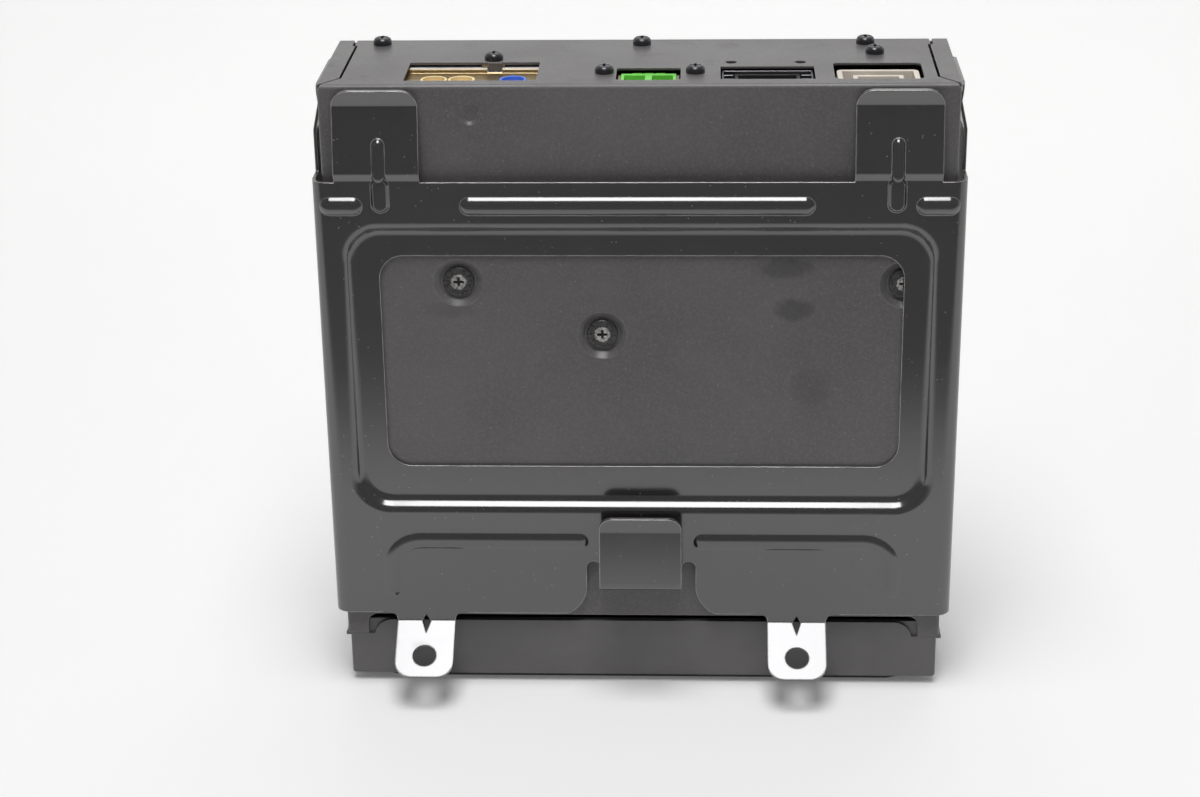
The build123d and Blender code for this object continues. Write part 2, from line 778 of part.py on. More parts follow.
def arch_rib(side):
    """Half of the arch: a low round rib up the side, round the corner and inwards."""
    axis_y = bracket_face_y - arch_rib_height + arch_rib_curve
    corner_x = side * (arch_rib_side_x - arch_rib_corner)
    corner_z = arch_rib_top_z - arch_rib_corner
    side_x, end_x = side * arch_rib_side_x, side * arch_rib_inner_x
    rib = rod_z(side_x, axis_y, (arch_rib_low_z, corner_z), arch_rib_curve)
    rib += rod_x((min(end_x, corner_x), max(end_x, corner_x)), axis_y, arch_rib_top_z, arch_rib_curve)
    for x, z in ((side_x, arch_rib_low_z), (end_x, arch_rib_top_z)):
        rib += Pos(x, axis_y, z) * Sphere(arch_rib_curve)
    ring = Pos(corner_x, axis_y, corner_z) * Rot(90, 0, 0) * Torus(arch_rib_corner, arch_rib_curve)
    wide = arch_rib_corner + arch_rib_curve + 1
    far_x = corner_x + side * wide
    quarter = block((min(corner_x, far_x), max(corner_x, far_x)), (axis_y - wide, axis_y + wide),
                    (corner_z, corner_z + wide))
    return above_face(rib + (ring & quarter), bracket_sheet / 2)


def front_dart(index):
    """Round rib on a tongue that runs down over its step into a raised pad."""
    centre = dart_x[index]
    face, middle = bracket_face_y, bracket_sheet / 2
    root, contact = tongue_profile()[2], tongue_profile()[3]
    lean = (contact[0] - root[0]) / (contact[1] - root[1])
    top_z = bracket_high_z + dart_above_edge - dart_curve
    sink = dart_curve - dart_height - middle
    points = []
    for z in (tongue_root_z + 0.5, top_z):
        points.append((centre, root[0] + lean * (z - root[1]) + sink, z))
    axis = Line(points[0], points[1])
    rib = sweep(Plane(origin=points[0], z_dir=axis % 0) * Circle(dart_curve), path=axis)
    for point in points:
        rib += Pos(*point) * Sphere(dart_curve)
    low_z = bracket_high_z - 4
    back_low = root[0] + lean * (low_z - root[1]) + 0.1
    back_high = root[0] + lean * (rear_z - root[1]) + 0.1
    profile = ((face - 5, low_z), (back_low, low_z), (back_high, rear_z), (face - 5, rear_z))
    keep = prism_x(profile, (centre - 5, centre + 5))
    half = dart_pad_width / 2
    pad_z = (tongue_root_z + 0.3 - dart_pad_length, tongue_root_z + 0.3)
    pad = pressing((centre - half, centre + half), pad_z, half - 0.05, (face, face - dart_pad_height),
                   dart_pad_height)
    return rib & keep, pad


def gusset(body, side):
    """Round ridge that runs out over the corner bend."""
    inner = side * (half_width - gusset_inner_margin + ridge_curve)
    outer = side * (half_width - gusset_outer_margin)
    axis_y = bracket_face_y - ridge_height + ridge_curve
    bar = rod_x((min(inner, outer), max(inner, outer)), axis_y, ridge_z, ridge_curve)
    for end in (inner, outer):
        bar += Pos(end, axis_y, ridge_z) * Sphere(ridge_curve)
    return body + above_face(bar, bracket_sheet / 2)


def tongue_profile():
    """Middle line of a front tongue in (y, z)."""
    middle = bracket_face_y + bracket_sheet / 2
    stepped = middle - tongue_root_step
    contact = face_y - tray_clearance - bracket_sheet / 2
    return ((middle, bracket_high_z - 1), (middle, tongue_root_z - 0.8), (stepped, tongue_root_z + 1.4),
            (contact, tongue_bend_z), (contact - tongue_flare, tongue_top_z))


def front_tongue(x):
    strip = strip_along_x(tongue_profile(), bracket_sheet, (0.8, 0.8, 1.0), x)
    corners = edges_in(strip, (x[0] - 1, -half_depth - 9, tongue_top_z - 1), (x[1] + 1, 0, tongue_top_z + 1))
    short = [e for e in corners if e.length < 1.5 * bracket_sheet]
    across = [e for e in short if abs(e.center().Z - tongue_top_z) < 1]
    return fillet(across, tongue_corner_radius)


def side_tongue(side):
    """Leaf spring of a side wall: straight, then bowed in to the chassis."""
    middle = side * (bracket_half_width - bracket_sheet / 2)
    contact = side * (half_width + tray_clearance + bracket_sheet / 2)
    flared = side * (half_width + tray_clearance + bracket_sheet / 2 + 0.9)
    points = ((middle, bracket_high_z - 1), (middle, side_tongue_bend_z),
              (contact, side_tongue_contact_z), (flared, side_tongue_top_z))
    y = (-side_tongue_width / 2, side_tongue_width / 2)
    strip = strip_along_y(points, bracket_sheet, (8.0, 1.5), y)
    corners = edges_in(strip, (-bracket_half_width - 2, y[0] - 1, side_tongue_top_z - 1),
                       (bracket_half_width + 2, y[1] + 1, side_tongue_top_z + 1))
    across = [e for e in corners if e.length < 1.5 * bracket_sheet]
    return fillet(across, tongue_corner_radius)


def ear(centre):
    """Ear with its neck, its bend and its hole, from the bracket's lower edge down."""
    middle = bracket_face_y + bracket_sheet / 2
    down = (cos(radians(ear_tilt)), sin(radians(ear_tilt)))
    tip = (middle - ear_length * down[1], ear_fold_z - ear_length * down[0])
    x = (centre - ear_width / 2, centre + ear_width / 2)
    body = strip_along_x(((middle, bracket_low_z), (middle, ear_fold_z), tip), bracket_sheet, (0.5,), x)
    across = [e for e in body.edges() if e.length < 1.2 * bracket_sheet and e.center().Z < tip[1] + 1]
    body = fillet(across, ear_corner_radius)
    for side in (-1, 1):
        edge = centre + side * ear_width / 2
        out = edge + side * ear_notch_radius
        y = (bracket_face_y, bracket_face_y + bracket_sheet)
        foot = bracket_low_z - ear_notch_radius
        web = block((min(edge, out), max(edge, out)), y, (foot, bracket_low_z))
        body += web - rod_y(out, (y[0] - 1, y[1] + 1), foot, ear_notch_radius)
    hole = rod_z(centre, 0, (-3 * bracket_sheet, 3 * bracket_sheet), ear_hole_radius)
    hole = Pos(0, 0, -ear_hole_distance) * Rot(90, 0, 0) * hole
    hole = Pos(0, middle, ear_fold_z) * Rot(-ear_tilt, 0, 0) * hole
    half = ear_relief_width / 2
    reach = ear_relief_length / 2
    diamond = ((centre, ear_fold_z + reach), (centre + half, ear_fold_z), (centre, ear_fold_z - reach),
               (centre - half, ear_fold_z))
    relief = prism_y(diamond, (bracket_face_y - 6, bracket_face_y + 3))
    return body - hole - relief


def hook():
    """Strip that leaves the face, runs out as a shelf and turns up."""
    middle = bracket_face_y + bracket_sheet / 2
    out = bracket_face_y - hook_reach
    points = ((middle, hook_slot_top_z), (middle, hook_shelf_z), (out, hook_shelf_z),
              (out + hook_lean, hook_bend_z), (out + hook_lean - hook_flare, hook_tip_z))
    x = (-hook_width / 2, hook_width / 2)
    body = strip_along_x(points, bracket_sheet, (hook_inner_radius, hook_inner_radius, 0.8), x)
    short = [e for e in body.edges() if e.length < 1.2 * bracket_sheet]
    across = [e for e in short if abs(e.center().Z - hook_tip_z) < 1]
    return fillet(across, hook_tip_corner)


def hook_cutout():
    """What is cut from the face round the hook."""
    y = (bracket_face_y - 1, bracket_face_y + bracket_sheet + 0.5)
    neck = hook_width / 2 + hook_slot_width
    run = cutout_low_half - neck
    rise = cutout_neck_z - bracket_low_z
    foot_z = bracket_low_z - 1
    waist, waist_z = neck + 0.3 * run, bracket_low_z + 0.3 * rise
    left = ThreePointArc((-cutout_low_half, foot_z), (-waist, waist_z), (-neck, cutout_neck_z))
    right = ThreePointArc((cutout_low_half, foot_z), (waist, waist_z), (neck, cutout_neck_z))
    frame = [left, Line((-neck, cutout_neck_z), (-neck, hook_leave_z)),
             Line((-neck, hook_leave_z), (neck, hook_leave_z)),
             Line((neck, hook_leave_z), (neck, cutout_neck_z)), right,
             Line((cutout_low_half, foot_z), (-cutout_low_half, foot_z))]
    tool = extrude(front_plane(y[0]) * make_face(frame), amount=y[1] - y[0], dir=(0, 1, 0))
    for side in (-1, 1):
        centre = side * (hook_width / 2 + hook_slot_width / 2)
        x = (centre - hook_slot_width / 2, centre + hook_slot_width / 2)
        tool += slab(x, (cutout_neck_z, hook_slot_top_z), hook_slot_width / 2 - 0.02, y)
    return tool


def press_side_dimples(body):
    """Round dimples for the screws of the side walls."""
    depth = bracket_side_gap - side_dimple_clearance
    for side in (-1, 1):
        for z in side_screw_z:
            turn = Rot(0, -90 * side, 0)
            spread = 0.3
            outer = Pos(side * (bracket_half_width - bracket_sheet - depth / 2), 0, z) * turn
            body += outer * Cone(side_dimple_radius + spread, side_dimple_floor_radius + spread, depth)
            front = Pos(side * (bracket_half_width - depth / 2), 0, z) * turn
            body -= front * Cone(side_dimple_radius, side_dimple_floor_radius, depth)
            through = (-bracket_half_width - 1, bracket_half_width + 1)
            body -= rod_x(through, 0, z, m3_radius + screw_clearance)
    return body


def make_bracket():
    body = press_tray(bracket_u())
    body -= hook_cutout()
    body = ridge_blend(body, bead_x)
    for side in (-1, 1):
        body += arch_rib(side)
        body = gusset(body, side)
        body += side_tongue(side)
    for x in front_tongue_x:
        body += front_tongue(x)
    for index in (0, 1):
        rib, pad = front_dart(index)
        body = body + pad + rib
    body = press_side_dimples(body)
    body += hook()
    nodes["mounting_bracket"] = body
    nodes["bracket_ears"] = group([ear(centre) for centre in ear_x])
    screws = []
    depth = bracket_side_gap - side_dimple_clearance
    for side in (-1, 1):
        for z in side_screw_z:
            screw = pan_screw(side_screw_length, m3_radius, side_screw_head_radius, side_screw_head_height)
            place = Pos(side * (bracket_half_width - depth), 0, z) * Rot(0, 90 * side, 0)
            screws.append(place * screw)
    nodes["bracket_screws"] = group(screws)


def make_fascia():
    half = fascia_width / 2
    depth = half_depth
    shell = block((-half, half), (-depth, depth), (fascia_base_z, fascia_shoulder_z))
    shell = fillet(shell.edges().filter_by(Axis.Z), fascia_edge_radius)
    base_edges = edges_in(shell, (-half, -depth, fascia_base_z), (half, depth, fascia_base_z))
    shell = fillet(base_edges, fascia_edge_radius)
    wide, narrow = fascia_plateau_half, fascia_plateau_half - fascia_plateau_taper
    profile = ((-wide, fascia_base_z + 0.5), (-wide, fascia_base_z), (-narrow, 0), (narrow, 0),
               (wide, fascia_base_z), (wide, fascia_base_z + 0.5))
    shell += prism_y(profile, (-fascia_plateau_depth / 2, fascia_plateau_depth / 2))
    front_inner_z = fascia_base_z + fascia_front
    collar_half = inner_half_width - cover_gap
    collar_y = (inner_face_y + cover_gap, cover_y - chassis_sheet - cover_gap)
    shell += block((-collar_half, collar_half), collar_y, (fascia_shoulder_z - 1, fascia_collar_z))
    lip_x = (-fascia_collar_half, fascia_collar_half)
    lip = block(lip_x, (-depth, 0), (fascia_shoulder_z - 1, fascia_collar_z))
    lip = fillet(lip.edges().filter_by(Axis.Y).group_by(Axis.Z)[-1], fascia_collar_radius)
    shell += lip
    shell -= block((-half + fascia_wall, half - fascia_wall), (-depth + fascia_wall, depth - fascia_wall),
                   (front_inner_z, fascia_collar_z + 1))
    for side in (-1, 1):
        low, high = fascia_latch_z
        wall = side * (half - 0.5)
        tip = side * (half_width + fascia_latch)
        hook_profile = ((wall, low), (tip, low), (tip, low + 0.8), (wall, high))
        shell += prism_y(hook_profile, (-depth + 1.2, -depth + 13))
    slot_x = (-slot_width / 2, slot_width / 2)
    slot_y = (disc_y - slot_height / 2, disc_y + slot_height / 2)
    slot = block(slot_x, slot_y, (-1, front_inner_z + 1))
    shell -= fillet(slot.edges().filter_by(Axis.Z), slot_height / 2 - 0.1)
    gap = button_clearance
    shell -= button_solid(button_width + 2 * gap, button_height + 2 * gap, (-1, front_inner_z + 1))
    shell -= rod_z(indicator_x, button_y, (-1, front_inner_z + 1), indicator_radius + 0.05)
    screw_y = switch_board_y[0] + switch_board_screw_edge
    for x in inset(switch_board_x, switch_board_screw_edge):
        boss = rod_z(x, screw_y, (front_inner_z - 0.5, switch_board_z), 2.6)
        shell += boss - rod_z(x, screw_y, (front_inner_z + 2, switch_board_z + 1), m3_radius * 0.7)
    nodes["front_fascia"] = shell
    low = (front_inner_z, front_inner_z + felt_thickness)
    far = felt_gap / 2 + felt_width
    felt_x = inset(slot_x, -1.0)
    upper_felt = block(felt_x, (disc_y + felt_gap / 2, disc_y + far), low)
    lower_felt = block(felt_x, (disc_y - far, disc_y - felt_gap / 2), low)
    nodes["disc_felts"] = group([upper_felt, lower_felt])


def button_solid(width, height, z):
    """Pill-shaped prism along Z at the eject button's place."""
    x = (button_x - width / 2, button_x + width / 2)
    y = (button_y - height / 2, button_y + height / 2)
    return fillet(block(x, y, z).edges().filter_by(Axis.Z), height / 2 - 0.1)


def make_eject():
    front_inner_z = fascia_base_z + fascia_front
    flange_z = (front_inner_z + 0.05, front_inner_z + 0.05 + button_flange_thickness)
    button = button_solid(button_width, button_height, (button_recess, flange_z[1]))
    button = fillet(button.edges().group_by(Axis.Z)[0], 0.5)
    wide = button_width + 2 * (button_clearance + button_flange)
    tall = button_height + 2 * (button_clearance + button_flange)
    button += button_solid(wide, tall, flange_z)
    stem_top = flange_z[1] + button_stem_length
    button += rod_z(button_x, button_y, (flange_z[1], stem_top), button_stem_radius)
    nodes["eject_button"] = button
    board = block(switch_board_x, switch_board_y, (switch_board_z, switch_board_z + switch_board_sheet))
    screws = []
    for x in inset(switch_board_x, switch_board_screw_edge):
        y = switch_board_y[0] + switch_board_screw_edge
        board -= rod_z(x, y, (switch_board_z - 1, switch_board_z + 3), m3_radius * 0.7 + screw_clearance)
        screw = pan_screw(5.0, m3_radius * 0.7 - thread_clearance, 2.0, 1.5)
        screws.append(Pos(x, y, switch_board_z + switch_board_sheet) * screw)
    nodes["switch_board"] = board
    nodes["switch_board_screws"] = group(screws)
    plunger_low = stem_top + button_travel + 0.1
    switch_z = (plunger_low + 0.4, switch_board_z)
    switch = block((button_x - 3, button_x + 3), (button_y - 3, button_y + 3), switch_z)
    switch += rod_z(button_x, button_y, (plunger_low, plunger_low + 1), button_stem_radius)
    nodes["eject_switch"] = switch
    led_z = (switch_board_z - 2.0, switch_board_z)
    led_x = (indicator_x - 1.5, indicator_x + 1.5)
    nodes["indicator_led"] = block(led_x, (button_y - 1, button_y + 1), led_z)
    guide = rod_z(indicator_x, button_y, (button_recess, led_z[0] - 0.2), indicator_radius)
    guide += rod_z(indicator_x, button_y, (front_inner_z, front_inner_z + 1), indicator_radius + 1)
    nodes["light_guide"] = guide


def make_rear_screws():
    screws = []
    for x, y in rear_screw_places:
        screws.append(Pos(x, y, rear_z) * pan_screw(rear_screw_length))
    nodes["rear_panel_screws"] = group(screws)


def make_coax():
    plate_top = rear_z - coax_plate_drop
    plate_z = (plate_top - coax_plate_sheet, plate_top)
    plate_x = inset(coax_window_x, -4.0)
    far_y = coax_window_y[1] - chassis_sheet - coax_upstand_gap
    plate = block(plate_x, (coax_window_y[0] - 0.5, far_y), plate_z)
    body_top = rear_z - coax_body_drop
    plate += block(plate_x, (far_y - coax_plate_sheet, far_y), (plate_z[0], body_top - 0.1))
    screw_x, screw_y = coax_screw_place
    boss_x = (screw_x - 3.2, screw_x + 3.2)
    boss_y = (screw_y - 2.1, screw_y + 4.5)
    plate += block(boss_x, boss_y, (plate_z[0], rear_z - chassis_sheet))
    plate += block(boss_x, (far_y - coax_plate_sheet, boss_y[0] + 0.1), (plate_z[0], plate_z[1]))
    foot_y = (board_top_y, board_top_y + coax_plate_sheet)
    plate += block(plate_x, foot_y, (plate_z[0] - 9, plate_z[1]))
    tab_x = inset(coax_tab_x, -0.3)
    tab_room = block(tab_x, (coax_window_y[1] - chassis_sheet - 1.2, coax_window_y[1] + 0.3),
                     (rear_z - coax_tab_length - 0.3, rear_z))
    plate -= tab_room
    for x in coax_socket_x:
        plate -= rod_z(x, coax_socket_y, (plate_z[0] - 1, plate_z[1] + 1), coax_collar_radius + 0.05)
    plate -= rod_z(screw_x, screw_y, (plate_z[0] - 1, rear_z), m3_radius + thread_clearance)
    nodes["coax_holder"] = plate
    body_y = (far_y, far_y + 12.0)
    body = block(inset(coax_window_x, -1.5), body_y, (rear_z - 15, body_top))
    body -= block(inset(boss_x, -0.3), (boss_y[0] - 0.3, boss_y[1] + 0.3), (rear_z - 16, rear_z))
    body -= block(inset(boss_x, -0.3), (body_y[0] - 1, boss_y[1] + 0.3), (rear_z - 16, plate_z[1] + 0.1))
    nodes["coax_module_body"] = body - tab_room
    names = ("coax_socket_yellow_1", "coax_socket_yellow_2", "coax_socket_blue")
    contacts = []
    for name, x in zip(names, coax_socket_x):
        top = plate_top + coax_collar_proud
        z = (top - coax_collar_length, top)
        collar = rod_z(x, coax_socket_y, z, coax_collar_radius)
        collar -= rod_z(x, coax_socket_y, (z[0] + 2, z[1] + 1), coax_collar_radius - coax_collar_wall)
        key_y = (coax_socket_y + coax_collar_radius - 2.1, coax_socket_y + coax_collar_radius - 0.4)
        collar += block((x - 0.6, x + 0.6), key_y, (z[0] + 1, z[1] - 4.5))
        collar -= rod_z(x, coax_socket_y, (z[0] - 1, z[0] + 3), coax_pin_radius + 0.02)
        nodes[name] = collar
        contacts.append(rod_z(x, coax_socket_y, (z[0] - 2, z[1] - 5), coax_pin_radius))
    nodes["coax_contacts"] = group(contacts)


def pin_rows(x_values, y_values, z, size):
    """Rows of square contact pins along Z."""
    pins = []
    for x in x_values:
        for y in y_values:
            pins.append(block((x - size / 2, x + size / 2), (y - size / 2, y + size / 2), z))
    return group(pins)


def spread(low, high, count):
    """Evenly spaced values from low to high."""
    return [low + (high - low) * index / (count - 1) for index in range(count)]


def make_green_socket():
    """Small bright socket: a body with four windows, a middle key and metal locks at its ends."""
    top = rear_z - chassis_sheet - window_gap
    x = inset(green_window_x, 1.3)
    y = (board_top_y, green_window_y[1] - 2.2)
    z = (top - 13.0, top)
    body = block(x, y, z)
    front = inset(x, 0.9)
    cavity_y = (y[0] + 1.0, y[1] - 1.6)
    middle = (x[0] + x[1]) / 2
    for low, high in ((front[0], middle - 1.0), (middle + 1.0, front[1])):
        body -= block((low, high), cavity_y, (z[0] + 3, z[1] + 1))
    for centre in (x[0] + 4.4, middle, x[1] - 4.4):
        body += block((centre - 1.4, centre + 1.4), (y[1] - 1.6, y[1] + 0.5), (z[1] - 5, z[1]))
    nodes["green_socket"] = body
    left = spread(front[0] + 1.2, middle - 2.0, 3)
    right = spread(middle + 2.0, front[1] - 1.2, 3)
    rows = spread(cavity_y[0] + 1.6, cavity_y[1] - 1.6, 2)
    nodes["green_socket_pins"] = pin_rows(left + right, rows, (z[0] + 3, z[1] - 3), 0.6)
    locks = []
    for side, edge in ((-1, x[0]), (1, x[1])):
        far = edge + side * 0.9
        locks.append(block((min(edge, far), max(edge, far)), (y[0], y[1] - 0.6), (z[0] + 2, z[1] - 0.3)))
    nodes["green_socket_locks"] = group(locks)


def make_power_socket():
    """Black socket in a bent metal frame, with one wide tongue."""
    top = rear_z - chassis_sheet - window_gap
    x = inset(power_window_x, 0.4)
    y = (board_top_y, power_window_y[1] - 0.6)
    z = (top - 15.0, top)
    frame = block(x, y, z) - block(inset(x, 0.5), (y[0] - 1, y[1] - 0.5), (z[0] - 1, z[1] + 1))
    for side, edge in ((-1, x[0] + 0.5), (1, x[1] - 0.5)):
        inner = edge - side * 2.8
        frame += block((min(edge, inner), max(edge, inner)), (y[1] - 4.4, y[1] - 3.8), (z[0], z[1] - 0.2))
        frame += block((min(edge, inner), max(edge, inner)), (y[1] - 8.4, y[1] - 7.8), (z[0], z[1] - 0.2))
    nodes["power_socket_shell"] = frame
    body_x = inset(x, 3.6)
    body_y = (y[0], y[1] - 0.8)
    body = block(body_x, body_y, (z[0], z[1] - 0.8))
    cavity = block(inset(body_x, 1.0), (body_y[0] + 1.0, body_y[1] - 1.0), (z[0] + 3, z[1] + 1))
    body -= cavity
    tongue_y = (body_y[0] + 5.6, body_y[0] + 7.4)
    body += block(inset(body_x, 2.2), tongue_y, (z[0] + 2, z[1] - 1.2))
    nodes["power_socket"] = body
    xs = spread(body_x[0] + 3.4, body_x[1] - 3.4, 8)
    rows = (tongue_y[0] - 1.6, tongue_y[1] + 1.6)
    nodes["power_socket_pins"] = pin_rows(xs, rows, (z[0] + 3, z[1] - 4), 0.7)


def make_white_socket():
    """Pale nested housing in a tin shell."""
    top = rear_z - chassis_sheet - window_gap
    x = inset(white_window_x, 0.9)
    y = (board_top_y, white_window_y[1] - 3.4)
    z = (top - 15.0, top)
    outer = fillet(block(x, y, z).edges().filter_by(Axis.Z).group_by(Axis.Y)[-1], 1.8)
    outer -= block(inset(x, 1.5), (y[0] + 1.2, y[1] - 1.5), (z[0] + 3, z[1] + 1))
    inner_x, inner_y = inset(x, 4.4), (y[0] + 3.4, y[1] - 3.6)
    outer += block(inner_x, inner_y, (z[0] + 2, z[1] - 0.6))
    outer -= block(inset(inner_x, 1.3), inset(inner_y, 1.3), (z[0] + 4, z[1] + 1))
    nodes["white_socket"] = outer
    xs = spread(inner_x[0] + 2.4, inner_x[1] - 2.4, 6)
    middle_y = (inner_y[0] + inner_y[1]) / 2
    nodes["white_socket_pins"] = pin_rows(xs, (middle_y - 1.2, middle_y + 1.2), (z[0] + 4, z[1] - 4), 0.6)
    tabs = []
    middle = (x[0] + x[1]) / 2
    for low, high in ((x[0] + 3.6, middle - 1.6), (middle + 1.6, x[1] - 3.6)):
        tabs.append(block((low, high), (y[1] + 0.1, y[1] + 1.3), (z[0], z[1] - 0.4)))
    nodes["white_socket_shell"] = group(tabs)


def make_board():
    board = block((-board_half_width, board_half_width), (board_y, board_top_y), board_z)
    for x, z in dimple_places:
        radius = post_across_flats / 2 / cos(pi / 6) + board_post_clearance
        board -= rod_y(x, (board_y - 1, board_top_y + 1), z, radius)
    nodes["main_circuit_board"] = board
    chips = []
    high_z = (board_z[1] - chip_below_top[0], board_z[1] - chip_below_top[1])
    chip_places = ((-20.0, high_z[0], 24.0), (22.0, high_z[1], 18.0), (-30.0, chip_low_z[0], 14.0),
                   (26.0, chip_low_z[1], 20.0))
    for x, z, size in chip_places:
        y = (board_top_y, board_top_y + chip_height)
        chips.append(block((x - size / 2, x + size / 2), y, (z - size / 2, z + size / 2)))
    nodes["board_chips"] = group(chips)
    cans = []
    can_x = board_half_width - capacitor_margin_x
    can_z = board_z[1] - capacitor_below_top
    can_places = [(can_x - step * capacitor_pitch, can_z) for step in range(3)]
    can_places += [(-can_x, can_z - step * capacitor_pitch) for step in range(2)]
    for x, z in can_places:
        cans.append(rod_y(x, (board_top_y, board_top_y + capacitor_height), z, capacitor_radius))
    nodes["board_capacitors"] = group(cans)
    socket_x = (-ribbon_socket_half, ribbon_socket_half)
    socket_y = (board_top_y, board_top_y + ribbon_socket_height)
    nodes["board_ribbon_socket"] = block(socket_x, socket_y, ribbon_socket_z)


def make_deck_frame():
    posts, screws = [], []
    floor_y = face_y + dimple_depth
    foot_y = floor_y + chassis_sheet
    flats = RegularPolygon(post_across_flats / 2, 6, major_radius=False)
    screw = pan_screw(deck_screw_length, m3_radius, deck_head_radius, deck_head_height)
    for x, z in dimple_places:
        face = front_plane(foot_y) * Pos(x, z) * flats
        hexagon = extrude(face, amount=frame_y - foot_y, dir=(0, 1, 0))
        posts.append(hexagon - rod_y(x, (foot_y - 1, frame_y + 1), z, m3_radius + thread_clearance))
        screws.append(Pos(x, floor_y, z) * Rot(90, 0, 0) * screw)
    nodes["deck_posts"] = group(posts)
    nodes["deck_screws"] = group(screws)
    frame = slab((-frame_half_width, frame_half_width), frame_z, 4.0, (frame_y, frame_top_y))
    opening_x = (-frame_opening_half, frame_opening_half)
    frame -= slab(opening_x, frame_opening_z, 6.0, (frame_y - 1, frame_top_y + 1))
    bushes, pins = [], []
    height = base_y - frame_top_y
    for x, z in damper_places:
        frame -= rod_y(x, (frame_y - 1, frame_top_y + 1), z, m3_radius + thread_clearance)
        low = rod_y(x, (frame_top_y, frame_top_y + height * 0.3), z, damper_radius)
        waist = rod_y(x, (frame_top_y, base_y), z, damper_waist_radius)
        high = rod_y(x, (base_y - height * 0.3, base_y), z, damper_radius)
        bush = low + waist + high
        bushes.append(bush - rod_y(x, (frame_top_y - 1, base_y + 1), z, m3_radius + 0.3))
        pin = Pos(x, base_top_y, z) * Rot(-90, 0, 0) * pan_screw(base_top_y - frame_y)
        pins.append(pin)
    nodes["deck_mount_frame"] = frame
    nodes["damper_bushes"] = group(bushes)
    nodes["damper_screws"] = group(pins)


def make_deck_base():
    half = base_half_width
    base = block((-half, half), (base_y, base_top_y), base_z)
    bay_half = guide_rod_x + 4.0
    base -= slab((-bay_half + 8, bay_half - 8), (spindle_z + spindle_motor_radius + 4, base_z[1] - 6), 3.0,
                 (base_y - 1, base_top_y + 1))
    wall_y = (base_y, top_plate_y)
    for side in (-1, 1):
        inner, outer = side * half, side * deck_side_x
        wall_x = (min(inner, outer), max(inner, outer))
        wall = block(wall_x, wall_y, base_z)
        ear_y = (disc_high_y + 2.0, top_plate_y)
        wall += block(wall_x, ear_y, (roller_z - 8, base_z[0] + 1))
        base += wall
        base -= rod_x((wall_x[0] - 1, wall_x[1] + 1), roller_axis_y(), roller_pivot_z, 1.5 + running_gap)
    for x, z in damper_places:
        base -= rod_y(x, (base_y - 1, base_top_y + 1), z, m3_radius + 0.3)
    base -= rod_y(0, (base_y - 1, base_top_y + 1), spindle_z, spindle_shaft_radius + 1)
    for z in guide_rod_z:
        inward = z + 2.0 if z < spindle_z + 40 else z - 2.0
        block_z = (min(z, inward), max(z, inward))
        for x in (-guide_rod_x, guide_rod_x):
            support = block((x - 3, x + 3), (base_top_y, guide_rod_y + 3), block_z)
            base += support - rod_z(x, guide_rod_y, (block_z[0] - 1, block_z[1] + 1), guide_rod_radius + 0.02)
        if z > spindle_z + 40:
            x = lead_screw_x
            support = block((x - 3, x + 3), (base_top_y, guide_rod_y + 3), block_z)
            bore_z = (block_z[0] - 1, block_z[1] + 1)
            base += support - rod_z(x, guide_rod_y, bore_z, lead_screw_radius + running_gap)
    nodes["deck_base"] = base
    rods = []
    for x in (-guide_rod_x, guide_rod_x):
        rods.append(rod_z(x, guide_rod_y, guide_rod_z, guide_rod_radius))
    nodes["guide_rods"] = group(rods)
    plate_y = (top_plate_y, top_plate_y + top_plate_sheet)
    plate = block((-deck_side_x, deck_side_x), plate_y, (roller_z - 8, base_z[1]))
    plate -= slab((-16, 16), (spindle_z - 18, spindle_z + 18), 6.0, (plate_y[0] - 1, plate_y[1] + 1))
    for side in (-1, 1):
        inner, outer = side * (clamp_lug_half - clamp_lug_sheet), side * clamp_lug_half
        lug_y = (clamp_pivot_y - 3, top_plate_y)
        plate += block((min(inner, outer), max(inner, outer)), lug_y, (clamp_pivot_z - 4, clamp_pivot_z + 4))
        near, far = side * top_plate_window_x[0], side * top_plate_window_x[1]
        through = (plate_y[0] - 1, plate_y[1] + 1)
        plate -= slab((min(near, far), max(near, far)), top_plate_window_z, 4.0, through)
    bore_x = (-clamp_lug_half - 1, clamp_lug_half + 1)
    plate -= rod_x(bore_x, clamp_pivot_y, clamp_pivot_z, clamp_pin_radius + 0.02)
    nodes["deck_top_plate"] = plate


def roller_axis_y():
    """Height of the loading roller's axis: the roller just meets the disc."""
    return disc_low_y - roller_end_radius - 0.3


def idler_y():
    return roller_axis_y() + gear_module * (roller_gear_teeth + idler_teeth) / 2 + gear_centre_play


def pinion_z():
    return roller_z + gear_module * (idler_teeth + pinion_teeth) / 2 + gear_centre_play


def make_spindle():
    motor_y = (base_top_y, base_top_y + spindle_motor_height)
    motor = rod_y(0, motor_y, spindle_z, spindle_motor_radius)
    motor = fillet(motor.edges().group_by(Axis.Y)[-1], 0.6)
    motor -= rod_y(0, (motor_y[0] - 1, motor_y[1] + 1), spindle_z, spindle_shaft_radius + running_gap)
    nodes["spindle_motor"] = motor
    table_y = (disc_low_y - turntable_thickness, disc_low_y)
    table = rod_y(0, table_y, spindle_z, turntable_radius)
    table += rod_y(0, (base_top_y + 0.2, table_y[0]), spindle_z, spindle_shaft_radius)
    rotor_low = motor_y[1] + 0.4
    table += rod_y(0, (rotor_low, table_y[0]), spindle_z, turntable_radius - 3)
    hub = rod_y(0, (disc_low_y, disc_low_y + hub_height), spindle_z, hub_radius)
    table += chamfer(hub.edges().group_by(Axis.Y)[-1], 0.9)
    nodes["turntable"] = table


